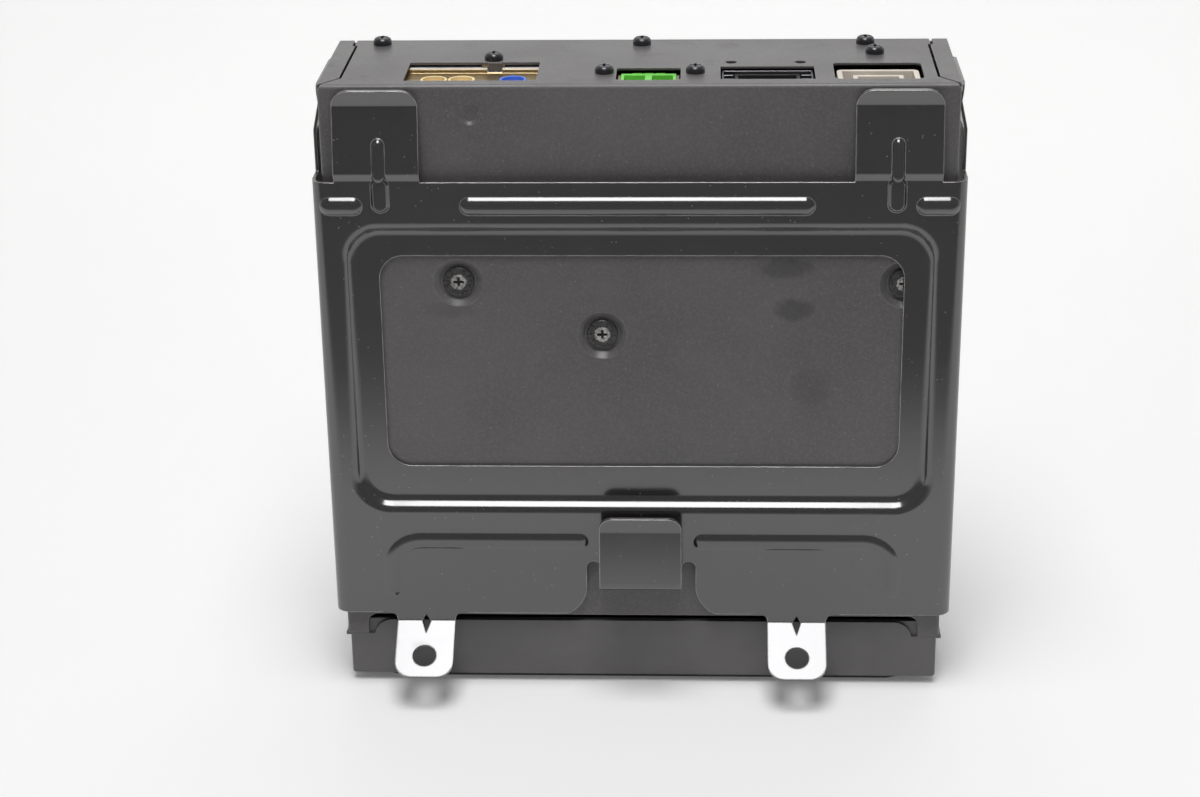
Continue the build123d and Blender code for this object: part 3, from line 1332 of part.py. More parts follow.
def make_pickup():
    z = (sled_low_z, sled_low_z + sled_length)
    y = (sled_y, sled_y + sled_thickness)
    sled = block((-sled_half_width, sled_half_width), y, z)
    sled = fillet(sled.edges().filter_by(Axis.Y), 2.0)
    reach = guide_rod_x + 3.2
    bearing_y = (guide_rod_y - 2.6, guide_rod_y + 2.6)
    for side in (-1, 1):
        inner, outer = side * (sled_half_width - 2), side * reach
        sled += block((min(inner, outer), max(inner, outer)), bearing_y, (z[0] + 3, z[1] - 3))
    nut_x = (guide_rod_x, lead_screw_x + 3.2)
    sled += block(nut_x, bearing_y, (z[0] + 8, z[0] + 16))
    for x in (-guide_rod_x, guide_rod_x):
        sled -= rod_z(x, guide_rod_y, (z[0] - 1, z[1] + 1), guide_rod_radius + running_gap)
    sled -= rod_z(lead_screw_x, guide_rod_y, (z[0] - 1, z[1] + 1), lead_screw_radius + running_gap)
    lens_z = z[0] + 10.0
    sled -= rod_y(0, (y[1] - 1.6, y[1] + 1), lens_z, lens_radius + 0.02)
    nodes["pickup_sled"] = sled
    lens = rod_y(0, (y[1] - 1.6, y[1] + 0.3), lens_z, lens_radius)
    nodes["objective_lens"] = fillet(lens.edges().group_by(Axis.Y)[-1], 0.5)
    motor = rod_z(lead_screw_x, guide_rod_y, feed_motor_z, feed_motor_radius)
    foot_x = (lead_screw_x - 3, lead_screw_x + 3)
    motor += block(foot_x, (base_top_y, guide_rod_y), (feed_motor_z[0] + 2, feed_motor_z[1] - 2))
    bore_z = (feed_motor_z[0] + 3, feed_motor_z[1] + 1)
    motor -= rod_z(lead_screw_x, guide_rod_y, bore_z, lead_screw_radius + running_gap)
    nodes["feed_motor"] = motor
    screw = rod_z(lead_screw_x, guide_rod_y, (feed_motor_z[0] + 3.2, guide_rod_z[1] - 1), lead_screw_radius)
    nodes["lead_screw"] = screw


def make_clamp():
    low_z = spindle_z - 14
    arm_y = (clamp_pivot_y - 1.2, clamp_pivot_y - 1.2 + clamp_arm_sheet)
    arm = slab((-clamp_arm_half_width, clamp_arm_half_width), (low_z, clamp_pivot_z + 5), 5.0, arm_y)
    for side in (-1, 1):
        outer, inner = side * clamp_arm_half_width, side * (clamp_arm_half_width - clamp_arm_sheet)
        lug_y = (arm_y[1] - 0.2, clamp_pivot_y + 2.4)
        arm += block((min(inner, outer), max(inner, outer)), lug_y, (clamp_pivot_z - 4, clamp_pivot_z + 3))
    arm -= rod_x((-20, 20), clamp_pivot_y, clamp_pivot_z, clamp_pin_radius + running_gap)
    neck_radius = 3.0
    arm -= rod_y(0, (arm_y[0] - 1, arm_y[1] + 1), spindle_z, neck_radius + 0.3)
    nodes["clamp_arm"] = arm
    pin_x = (-clamp_lug_half - clamp_pin_proud, clamp_lug_half + clamp_pin_proud)
    nodes["clamp_pin"] = rod_x(pin_x, clamp_pivot_y, clamp_pivot_z, clamp_pin_radius)
    puck_low = disc_high_y + puck_rise
    puck_y = (puck_low, puck_low + 1.8)
    puck = rod_y(0, puck_y, spindle_z, puck_radius)
    puck -= rod_y(0, (puck_y[0] - 1, puck_y[0] + 1.2), spindle_z, hub_radius + 0.6)
    puck += rod_y(0, (puck_y[1], arm_y[1] + 0.3), spindle_z, neck_radius)
    puck += rod_y(0, (arm_y[1] + 0.3, arm_y[1] + 1.3), spindle_z, neck_radius + 2)
    nodes["clamp_puck"] = puck


def make_slider():
    outer = -deck_side_x - 0.2
    x = (outer - slider_sheet, outer)
    y = (-4.0, 9.0)
    plate = block(x, y, slider_z)
    studs = []
    for z in slider_pin_z:
        slot_z = (z - slider_travel - slider_pin_radius - 0.2, z + slider_pin_radius + 0.2)
        middle = (slot_z[0] + slot_z[1]) / 2
        length = slot_z[1] - slot_z[0]
        width = 2 * slider_pin_radius + 0.3
        slot = extrude(Plane.YZ.offset(x[0] - 1) * Pos(2.5, middle) * SlotOverall(length, width, rotation=90),
                       amount=slider_sheet + 2, dir=(1, 0, 0))
        plate -= slot
        pin = rod_x((x[0] - 0.3, -deck_side_x + 0.5), 2.5, z, slider_pin_radius)
        studs.append(pin + rod_x((x[0] - 1.1, x[0] - 0.3), 2.5, z, slider_pin_radius + 1.2))
    nodes["cam_slider"] = plate
    for stud in studs:
        nodes["deck_base"] += stud


def gear(teeth, width_x, y, z, bore, phase):
    """Spur gear about X with trapezoid teeth; phase is the angle of one tooth in degrees."""
    pitch_radius = gear_module * teeth / 2
    tip_radius = pitch_radius + 0.75 * gear_module
    root_radius = pitch_radius - 1.1 * gear_module
    half_pitch = pi / (2 * teeth) * 0.8
    lean = tan(radians(20))
    half_tip = half_pitch - lean * (tip_radius - pitch_radius) / tip_radius
    half_root = half_pitch + lean * (pitch_radius - root_radius) / root_radius
    points = []
    for tooth in range(teeth):
        middle = radians(phase) + 2 * pi * tooth / teeth
        for radius, angle in ((root_radius, -half_root), (tip_radius, -half_tip),
                              (tip_radius, half_tip), (root_radius, half_root)):
            points.append((y + radius * cos(middle + angle), z + radius * sin(middle + angle)))
    body = prism_x(points, width_x)
    return body - rod_x((width_x[0] - 1, width_x[1] + 1), y, z, bore)


def make_loading():
    axis_y = roller_axis_y()
    gear_x = (deck_side_x + gear_side_gap, deck_side_x + gear_side_gap + gear_width)
    half = roller_bracket_half
    arms = []
    for side in (-1, 1):
        inner, outer = side * half, side * (half + roller_arm_sheet)
        arm_x = (min(inner, outer), max(inner, outer))
        arm = slab(arm_x, (roller_z - 4, roller_pivot_z + 4), 0.3, (axis_y - 4, axis_y + 4))
        arm -= rod_x((arm_x[0] - 1, arm_x[1] + 1), axis_y, roller_z, roller_shaft_radius + running_gap)
        stub = side * (deck_side_x + 0.3)
        arm += rod_x((min(inner, stub), max(inner, stub)), axis_y, roller_pivot_z, 1.5)
        arms.append(arm)
    bar = block((-half - 0.5, half + 0.5), (axis_y - 4, axis_y - 3), (roller_z + 8, roller_pivot_z - 4))
    nodes["roller_bracket"] = arms[0] + arms[1] + bar
    nodes["roller_shaft"] = rod_x((-half - 2, gear_x[1] + 0.4), axis_y, roller_z, roller_shaft_radius)
    rubbers = []
    for side in (-1, 1):
        length = roller_half_length
        cone = Cone(roller_end_radius, roller_middle_radius, length)
        place = Pos(side * length / 2, axis_y, roller_z) * Rot(0, -90 * side, 0)
        rubbers.append(place * cone - rod_x((-length - 1, length + 1), axis_y, roller_z, roller_shaft_radius))
    rubber = rubbers[0] + rubbers[1]
    nodes["roller_rubbers"] = rubber
    nodes["roller_gear"] = gear(roller_gear_teeth, gear_x, axis_y, roller_z, roller_shaft_radius, 0)
    idler_phase = 180 / idler_teeth
    idler = gear(idler_teeth, gear_x, idler_y(), roller_z, 1.5 + running_gap, idler_phase)
    nodes["idler_gear"] = idler
    nodes["deck_base"] += rod_x((base_half_width, gear_x[1] + 0.6), idler_y(), roller_z, 1.5)
    motor_x = (gear_x[1] + loading_motor_gap, inner_half_width - loading_motor_wall_gap)
    shaft_x = (gear_x[0], motor_x[0] + 4)
    pinion = gear(pinion_teeth, gear_x, idler_y(), pinion_z(), motor_shaft_radius, 0)
    pinion += rod_x(shaft_x, idler_y(), pinion_z(), motor_shaft_radius)
    nodes["motor_pinion"] = pinion
    motor = rod_x(motor_x, idler_y(), pinion_z(), loading_motor_radius)
    motor = fillet(motor.edges().group_by(Axis.X)[-1], 1.0)
    bore_x = (motor_x[0] - 1, shaft_x[1] + 0.3)
    motor -= rod_x(bore_x, idler_y(), pinion_z(), motor_shaft_radius + running_gap)
    nodes["loading_motor"] = motor
    plate_x = (motor_x[0] - 0.8, motor_x[0])
    plate_z = (pinion_z() - 8, pinion_z() + 16)
    plate = slab(plate_x, plate_z, 0.2, (idler_y() - 7, idler_y() + 7))
    plate -= rod_x((plate_x[0] - 1, plate_x[1] + 1), idler_y(), pinion_z(), motor_shaft_radius + 0.6)
    link_z = (pinion_z() + 6, plate_z[1])
    plate += block((deck_side_x - 1, plate_x[1]), (top_plate_y, top_plate_y + top_plate_sheet), link_z)
    nodes["deck_top_plate"] += plate


def make_ribbon():
    """Flat flex that loops from the board up to the deck base through the frame's opening."""
    start_y = board_top_y + ribbon_socket_height / 2
    bow_y = base_y - ribbon_bow_below_base
    end_y = base_y - 0.2
    across = (start_y, start_y, bow_y, bow_y, end_y, end_y)
    points = [(y, ribbon_socket_z[1] + rise) for y, rise in zip(across, ribbon_rises)]
    x = (-ribbon_half_width, ribbon_half_width)
    nodes["deck_ribbon"] = strip_along_x(points, ribbon_sheet, (2.0, 2.0, 1.0, 0.8), x)


make_chassis()
make_top_cover()
make_bracket()
make_fascia()
make_eject()
make_rear_screws()
make_coax()
make_green_socket()
make_power_socket()
make_white_socket()
make_board()
make_deck_frame()
make_deck_base()
make_spindle()
make_pickup()
make_clamp()
make_slider()
make_loading()
make_ribbon()

os.makedirs("parts", exist_ok=True)
for name, shape in nodes.items():
    export_step(shape, "parts/" + name + ".step")
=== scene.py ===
import math

import bpy
from mathutils import Matrix, Vector

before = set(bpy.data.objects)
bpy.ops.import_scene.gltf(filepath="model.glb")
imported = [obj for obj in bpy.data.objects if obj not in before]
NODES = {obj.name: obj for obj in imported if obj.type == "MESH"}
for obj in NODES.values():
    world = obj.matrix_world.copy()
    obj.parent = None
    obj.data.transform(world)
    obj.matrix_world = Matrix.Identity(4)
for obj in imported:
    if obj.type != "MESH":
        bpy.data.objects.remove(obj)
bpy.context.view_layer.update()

MM = 0.001

# Camera, from the fit to the object's straight edges: degrees, and millimetres for the lens and sensor
CAMERA_PLACE_MM = (19.44, -694.12, 371.47)
CAMERA_PITCH = 22.548
CAMERA_YAW = 2.657
CAMERA_ROLL = 0.870
CAMERA_LENS = 75.09
CAMERA_SENSOR = 36.0
CAMERA_CLIP = (0.01, 20.0)

# Sweep: a flat floor that curves up behind the object, in metres
SWEEP_FRONT = -1.6
SWEEP_BACK = 1.1
SWEEP_HALF_WIDTH = 2.2
SWEEP_HEIGHT = 1.6
SWEEP_RADIUS = 0.5
SWEEP_STEPS = 16
SWEEP_COLOR = (0.92, 0.92, 0.91, 1)
SWEEP_ROUGH = 0.6

# Along y: where the floor that glossy paint mirrors falls off, and where the floor's own glow rises
MIRRORED_FLOOR_Y = (-0.302, -0.155)
MIRRORED_FLOOR_SHARE = (0.17, 1.0)
GLOW_Y = (-0.25, 0.75)
GLOW_STRENGTH = (0.06, 0.34)

# Room: the strengths that light the object, that paint mirrors in front and behind and that the camera sees
ROOM_COLOR = (0.97, 0.985, 1.0, 1.0)
ROOM_LIT = 0.2
ROOM_MIRRORED = (0.2, 0.8)
ROOM_TURN = (-0.1, 0.3)
ROOM_SEEN = 0.92

# Lamps: name, place, target, size, watts, colour
LAMPS = (
    ("overhead", (-0.03, -0.45, 1.18), (-0.03, -0.40, 0.0), (0.52, 0.86), 11.8, (0.99, 0.985, 1.0)),
    ("back_fill", (0.1, 0.75, 1.3), (0.0, 0.3, 0.1), (1.0, 0.6), 2.5, (1.0, 1.0, 1.0)),
)

# Marks on the face at the front, in mm along x and z: smears as centre, half size and strength; the seams
# where the bracket meets its ears as centre x, half width and z; the screws of the deck
SMEARS = (
    ((42.0, 133.4), (8.5, 3.4), 0.5),
    ((43.8, 120.8), (6.0, 3.6), 0.5),
    ((49.5, 97.0), (7.0, 6.5), 0.2),
    ((-54.2, 120.7), (8.0, 2.6), 0.2),
)
SMEAR_RAGGED = 1.8
SMEAR_FACE_Y = (-0.020, -0.018)
EAR_SEAMS = ((-64.5, 12.0, 25.2), (46.2, 12.0, 25.2))
SEAM_HALF = (0.8, 1.2)
DECK_SCREWS = ((-51.5, 128.9), (-10.7, 112.9), (75.2, 128.4), (-51.5, 44.0), (75.2, 44.0))

# Screw recess, in metres: where the worn ring ends, half the cross's arm and the cross's reach
WORN_RING = (0.0020, 0.0024)
WORN_RAGGED = 0.0011
RECESS_ARM = (0.00036, 0.00044)
RECESS_REACH = (0.0014, 0.0016)

BEVEL_SAMPLES = 6
SOCKETS = {"color": "Base Color", "metal": "Metallic", "rough": "Roughness", "normal": "Normal",
           "specular": "Specular IOR Level", "transmission": "Transmission Weight", "ior": "IOR"}


class Graph:
    """One material's node tree, with short calls for the nodes used here."""

    def __init__(self, name):
        self.material = bpy.data.materials.new(name)
        self.material.use_nodes = True
        self.tree = self.material.node_tree
        self.nodes = self.tree.nodes
        self.shader = self.nodes["Principled BSDF"]
        self.coords = self.nodes.new("ShaderNodeTexCoord").outputs["Object"]

    def put(self, socket, value):
        if isinstance(value, bpy.types.NodeSocket):
            self.tree.links.new(value, socket)
        else:
            socket.default_value = value

    def stretched(self, scale, turn=(0, 0, 0)):
        node = self.nodes.new("ShaderNodeMapping")
        self.put(node.inputs["Vector"], self.coords)
        node.inputs["Scale"].default_value = scale
        node.inputs["Rotation"].default_value = turn
        return node.outputs["Vector"]

    def noise(self, scale, detail=3.0, rough=0.5, vector=None, distortion=0.0):
        node = self.nodes.new("ShaderNodeTexNoise")
        self.put(node.inputs["Vector"], vector or self.coords)
        node.inputs["Scale"].default_value = scale
        node.inputs["Detail"].default_value = detail
        node.inputs["Roughness"].default_value = rough
        node.inputs["Distortion"].default_value = distortion
        return node.outputs["Fac"]

    def cells(self, scale):
        node = self.nodes.new("ShaderNodeTexVoronoi")
        self.put(node.inputs["Vector"], self.coords)
        node.inputs["Scale"].default_value = scale
        return node.outputs["Distance"]

    def remap(self, value, low, high, to_low=0.0, to_high=1.0):
        node = self.nodes.new("ShaderNodeMapRange")
        node.interpolation_type = "SMOOTHSTEP"
        self.put(node.inputs["Value"], value)
        node.inputs["From Min"].default_value = low
        node.inputs["From Max"].default_value = high
        node.inputs["To Min"].default_value = to_low
        node.inputs["To Max"].default_value = to_high
        return node.outputs["Result"]

    def below(self, value, low, high):
        """1 under low, 0 over high."""
        return self.remap(value, low, high, 1.0, 0.0)

    def math(self, kind, a, b=0.0):
        node = self.nodes.new("ShaderNodeMath")
        node.operation = kind
        self.put(node.inputs[0], a)
        self.put(node.inputs[1], b)
        return node.outputs[0]

    def add(self, a, b):
        return self.math("ADD", a, b)

    def take(self, a, b):
        return self.math("SUBTRACT", a, b)

    def times(self, a, b):
        return self.math("MULTIPLY", a, b)

    def size_of(self, value):
        return self.math("ABSOLUTE", value)

    def mix(self, factor, a, b):
        node = self.nodes.new("ShaderNodeMix")
        node.data_type = "RGBA"
        self.put(node.inputs["Factor"], factor)
        self.put(node.inputs["A"], a)
        self.put(node.inputs["B"], b)
        return node.outputs["Result"]

    def mottle(self, value, color, share, low=0.3, high=0.7):
        return self.mix(self.remap(value, low, high), shade(color, 1 - share), shade(color, 1 + share))

    def bump(self, height, distance, strength, normal=None):
        node = self.nodes.new("ShaderNodeBump")
        node.inputs["Distance"].default_value = distance
        node.inputs["Strength"].default_value = strength
        self.put(node.inputs["Height"], height)
        if normal:
            self.put(node.inputs["Normal"], normal)
        return node.outputs["Normal"]

    def separate(self):
        node = self.nodes.new("ShaderNodeSeparateXYZ")
        self.put(node.inputs[0], self.coords)
        return node.outputs

    def soft_edges(self, radius, seam=None):
        """Normal of the surface with its sharp edges rounded, apart from a seam."""
        node = self.nodes.new("ShaderNodeBevel")
        node.samples = BEVEL_SAMPLES
        self.put(node.inputs["Radius"], self.times(seam, radius) if seam else radius)
        return node.outputs["Normal"]

    def edge_mask(self, radius, low=0.02, high=0.25, seam=None):
        """1 along the sharp edges of the solid."""
        node = self.nodes.new("ShaderNodeVectorMath")
        node.operation = "DOT_PRODUCT"
        self.put(node.inputs[0], self.soft_edges(radius, seam))
        self.put(node.inputs[1], self.nodes.new("ShaderNodeNewGeometry").outputs["Normal"])
        return self.remap(self.take(1.0, node.outputs["Value"]), low, high)

    def hairs(self, patchy, patch_range, first_range, second_range):
        """Hair scratches in two directions, only where the patches are."""
        first = self.noise(1.0, 2.0, 0.5, self.stretched((2600, 1500, 90), (0, 0.35, 0)))
        second = self.noise(1.0, 2.0, 0.5, self.stretched((140, 1900, 2900), (0, -0.5, 0)))
        either = self.math("MAXIMUM", self.remap(first, *first_range), self.remap(second, *second_range))
        return self.times(either, self.remap(patchy, *patch_range))

    def dust(self):
        """Specks: the middles of some of the cells."""
        dots = self.below(self.cells(620.0), 0.05, 0.13)
        return self.times(dots, self.remap(self.noise(560.0, 0.0), 0.585, 0.60))

    def from_place(self, place_mm):
        """Distances along x and z from a place on the face."""
        x, _, z = self.separate()
        return self.take(x, place_mm[0] * MM), self.take(z, place_mm[1] * MM)

    def smear(self, centre_mm, half_mm):
        """Blotch with broken edges: 1 in its middle, for a mark on the face at the front."""
        wide, tall = self.from_place(centre_mm)
        wide = self.math("DIVIDE", wide, half_mm[0] * MM)
        tall = self.math("DIVIDE", tall, half_mm[1] * MM)
        away = self.add(self.times(wide, wide), self.times(tall, tall))
        broken = self.times(self.take(self.noise(420.0, 4.0, 0.7), 0.5), SMEAR_RAGGED)
        return self.times(self.below(self.add(away, broken), 0.25, 1.25),
                          self.below(self.separate()[1], *SMEAR_FACE_Y))

    def seam_mask(self, places):
        """0 along the seams, 1 away from them."""
        near = 0.0
        for centre, half, level in places:
            wide, tall = (self.size_of(way) for way in self.from_place((centre, level)))
            across = self.below(wide, half * MM, (half + 1) * MM)
            along = self.below(tall, *(edge * MM for edge in SEAM_HALF))
            near = self.math("MAXIMUM", near, self.times(across, along))
        return self.take(1.0, near)

    def set(self, **values):
        for key, value in values.items():
            self.put(self.shader.inputs[SOCKETS[key]], value)
        return self.material


def rgb(r, g, b):
    """sRGB bytes to a linear colour."""
    linear = []
    for byte in (r, g, b):
        c = byte / 255
        linear.append(c / 12.92 if c <= 0.04045 else ((c + 0.055) / 1.055) ** 2.4)
    return (*linear, 1.0)


def shade(color, factor):
    return (color[0] * factor, color[1] * factor, color[2] * factor, 1.0)


def paint(name, color, rough, smudge=0.15, edge_radius=0.0005, edge_wear_and_highlight_share=0.35, specks=0.5, scratch=0.5,
          peel=0.000012, ior=1.5, marks=(), seam_places=()):
    """Dark paint on sheet: orange peel, smudges, hair scratches, dust specks, and lighter edges that are
    partly paint rubbed bare and partly a painted highlight along the edges.
    """
    g = Graph(name)
    seam = g.seam_mask(seam_places) if seam_places else None
    cloudy = g.noise(26.0, 4.0, 0.55)
    patchy = g.noise(75.0, 5.0, 0.6, distortion=0.6)
    hairs = g.hairs(patchy, (0.5, 0.72), (0.68, 0.73), (0.68, 0.73))
    tone = g.mottle(cloudy, color, smudge)
    tone = g.mix(g.times(g.remap(g.noise(1500.0, 2.0, 0.6), 0.42, 0.66), 0.5), tone, shade(color, 1.35))
    tone = g.mix(g.times(hairs, scratch), tone, shade(color, 4.0))
    tone = g.mix(g.times(g.dust(), specks), tone, rgb(150, 145, 138))
    edges = g.edge_mask(edge_radius, 0.02, 0.16, seam=seam)
    if seam:
        edges = g.times(edges, seam)
    # Lighter colour along the sharp edges: partly paint rubbed bare, partly a painted highlight standing in
    # for light caught on the edges.
    edge_wear_and_highlight = g.times(edges, g.remap(g.noise(160.0, 4.0, 0.6), 0.25, 0.55, 0.35, 1.0))
    tone = g.mix(g.times(edge_wear_and_highlight, edge_wear_and_highlight_share), tone, rgb(205, 202, 198))
    for centre, half, strength in marks:
        tone = g.mix(g.times(g.smear(centre, half), strength), tone, shade(color, 0.35))
    roughness = g.remap(cloudy, 0.25, 0.75, rough * 0.8, rough * 1.2)
    roughness = g.add(roughness, g.times(g.remap(patchy, 0.55, 0.8), 0.12))
    normal = g.bump(g.noise(420.0, 2.0, 0.5), peel, 0.5, g.soft_edges(edge_radius, seam))
    normal = g.bump(g.noise(2200.0, 3.0, 0.6), peel * 0.3, 0.5, normal)
    return g.set(color=tone, rough=roughness, normal=normal, ior=ior)


def sheet_metal(name, color, rough, edge_radius=0.0004, smudge=0.12, scratch=0.5):
    """Rolled sheet: fine grain, smudges, hair scratches and worn edges."""
    g = Graph(name)
    fine = g.noise(1.0, 4.0, 0.6, g.stretched((60, 900, 900)))
    cloudy = g.noise(28.0, 4.0, 0.55)
    patchy = g.noise(90.0, 5.0, 0.6, distortion=0.6)
    hairs = g.hairs(patchy, (0.45, 0.7), (0.66, 0.72), (0.67, 0.73))
    tone = g.mottle(cloudy, color, smudge)
    tone = g.mix(g.remap(fine, 0.3, 0.7, 0.0, 0.25), tone, shade(color, 1.25))
    tone = g.mix(g.times(hairs, scratch), tone, shade(color, 2.1))
    tone = g.mix(g.times(g.edge_mask(edge_radius), 0.55), tone, shade(color, 1.9))
    roughness = g.add(g.remap(cloudy, 0.25, 0.75, rough * 0.82, rough * 1.2), g.times(fine, 0.05))
    normal = g.bump(fine, 0.00001, 0.35, g.soft_edges(edge_radius))
    normal = g.bump(g.times(hairs, -1.0), 0.00001, 0.5, normal)
    return g.set(color=tone, metal=1.0, rough=roughness, normal=normal)


def plastic(name, color, rough, grain_scale=1400.0, grain_depth=0.00002, specular=0.5, edge_radius=0.00025):
    """Moulded plastic: fine texture, faint mottling and softened edges."""
    g = Graph(name)
    cloudy = g.noise(60.0, 4.0, 0.5)
    tone = g.mottle(cloudy, color, 0.1)
    tone = g.mix(g.times(g.edge_mask(edge_radius), 0.3), tone, shade(color, 1.6))
    roughness = g.remap(cloudy, 0.3, 0.7, rough * 0.88, rough * 1.12)
    normal = g.bump(g.noise(grain_scale, 3.0, 0.6), grain_depth, 0.4, g.soft_edges(edge_radius))
    return g.set(color=tone, rough=roughness, normal=normal, specular=specular)


def bright_metal(name, color, rough, edge_radius=0.0002):
    """Plated or machined small part with fine marks."""
    g = Graph(name)
    cloudy = g.noise(240.0, 3.0, 0.5)
    tone = g.mix(g.remap(cloudy, 0.3, 0.75), shade(color, 0.8), color)
    tone = g.mix(g.times(g.edge_mask(edge_radius), 0.4), tone, shade(color, 1.4))
    roughness = g.remap(cloudy, 0.3, 0.7, rough * 0.8, rough * 1.3)
    normal = g.bump(g.noise(1800.0, 3.0, 0.6), 0.00001, 0.4, g.soft_edges(edge_radius))
    return g.set(color=tone, metal=1.0, rough=roughness, normal=normal)


def worn_screws(name, places, rough=0.3):
    """Black screws whose cross recess has lost its finish round its edge."""
    g = Graph(name)
    bare = 0.0
    for place in places:
        wide, tall = g.from_place(place)
        away = g.math("SQRT", g.add(g.times(wide, wide), g.times(tall, tall)))
        ragged = g.add(away, g.times(g.take(g.noise(900.0, 3.0, 0.6), 0.5), WORN_RAGGED))
        arm = g.math("MINIMUM", g.size_of(wide), g.size_of(tall))
        recess = g.times(g.below(arm, *RECESS_ARM), g.below(away, *RECESS_REACH))
        bare = g.math("MAXIMUM", bare, g.times(g.below(ragged, *WORN_RING), g.take(1.0, recess)))
    fine = g.noise(1500.0, 4.0, 0.6)
    black = g.mix(g.remap(fine, 0.35, 0.7), (0.028, 0.027, 0.028, 1), (0.06, 0.058, 0.058, 1))
    worn = g.mix(g.remap(fine, 0.3, 0.7), (0.32, 0.31, 0.30, 1), (0.75, 0.73, 0.70, 1))
    return g.set(color=g.mix(bare, black, worn), metal=g.times(bare, 0.9),
                 rough=g.remap(fine, 0.3, 0.7, rough * 0.8, rough * 1.3),
                 normal=g.bump(fine, 0.00002, 0.5, g.soft_edges(0.0003)))


def clear_plastic(name):
    g = Graph(name)
    return g.set(color=(0.85, 0.9, 0.95, 1), rough=0.08, transmission=0.9, ior=1.49,
                 normal=g.bump(g.noise(900.0), 0.00001, 0.2))


def dress(material, *names):
    for name in names:
        mesh = NODES[name].data
        mesh.materials.clear()
        mesh.materials.append(material)


def studio_material(name, color, rough):
    """Pale paper, which the object's glossy paint sees falling off into a dimmer room in front."""
    g = Graph(name)
    y = g.separate()[1]
    tone = g.mix(g.remap(g.noise(4.0, 4.0, 0.5), 0.3, 0.7), shade(color, 0.99), color)
    path = g.nodes.new("ShaderNodeLightPath").outputs
    mirrored = g.mix(g.remap(y, *MIRRORED_FLOOR_Y, *MIRRORED_FLOOR_SHARE), (0.0, 0.0, 0.0, 1), tone)
    tone = g.mix(path["Is Glossy Ray"], tone, mirrored)
    seen = g.math("MAXIMUM", path["Is Camera Ray"], path["Is Glossy Ray"])
    g.shader.inputs["Emission Color"].default_value = (1.0, 1.0, 0.99, 1)
    g.put(g.shader.inputs["Emission Strength"], g.times(g.remap(y, *GLOW_Y, *GLOW_STRENGTH), seen))
    return g.set(color=tone, rough=rough, specular=0.2)


def add_stage():
    profile = [(SWEEP_FRONT, 0.0), (SWEEP_BACK - SWEEP_RADIUS, 0.0)]
    for step in range(1, SWEEP_STEPS + 1):
        a = math.pi / 2 * step / SWEEP_STEPS
        profile.append((SWEEP_BACK - SWEEP_RADIUS + SWEEP_RADIUS * math.sin(a),
                        SWEEP_RADIUS - SWEEP_RADIUS * math.cos(a)))
    profile.append((SWEEP_BACK, SWEEP_HEIGHT))
    verts = [(x, y, z) for y, z in profile for x in (-SWEEP_HALF_WIDTH, SWEEP_HALF_WIDTH)]
    faces = [(2 * i, 2 * i + 1, 2 * i + 3, 2 * i + 2) for i in range(len(profile) - 1)]
    mesh = bpy.data.meshes.new("sweep")
    mesh.from_pydata(verts, [], faces)
    for face in mesh.polygons:
        face.use_smooth = True
    sweep = bpy.data.objects.new("sweep", mesh)
    bpy.context.scene.collection.objects.link(sweep)
    mesh.materials.append(studio_material("sweep", SWEEP_COLOR, SWEEP_ROUGH))


def add_lamp(name, place, target, size, watts, color):
    data = bpy.data.lights.new(name, "AREA")
    data.shape = "RECTANGLE"
    data.size, data.size_y = size
    data.energy = watts
    data.color = color
    lamp = bpy.data.objects.new(name, data)
    lamp.location = place
    lamp.rotation_mode = "QUATERNION"
    lamp.rotation_quaternion = (Vector(target) - Vector(place)).to_track_quat("-Z", "Y")
    bpy.context.scene.collection.objects.link(lamp)


def add_camera():
    p, y, r = (math.radians(a) for a in (CAMERA_PITCH, CAMERA_YAW, CAMERA_ROLL))
    turn = Matrix(((math.cos(y), -math.sin(y), 0), (math.sin(y), math.cos(y), 0), (0, 0, 1)))
    tilt = Matrix(((1, 0, 0), (0, math.cos(p), math.sin(p)), (0, -math.sin(p), math.cos(p))))
    roll = Matrix(((math.cos(r), 0, math.sin(r)), (0, 1, 0), (-math.sin(r), 0, math.cos(r))))
    basis = turn @ tilt @ roll
    right, forward, up = basis.col[0], basis.col[1], basis.col[2]
    data = bpy.data.cameras.new("camera")
    data.sensor_width = CAMERA_SENSOR
    data.lens = CAMERA_LENS
    data.clip_start, data.clip_end = CAMERA_CLIP
    camera = bpy.data.objects.new("camera", data)
    axes = Matrix((right, up, -forward)).transposed().to_4x4()
    camera.matrix_world = Matrix.Translation(Vector(CAMERA_PLACE_MM) * MM) @ axes
    bpy.context.scene.collection.objects.link(camera)
    bpy.context.scene.camera = camera


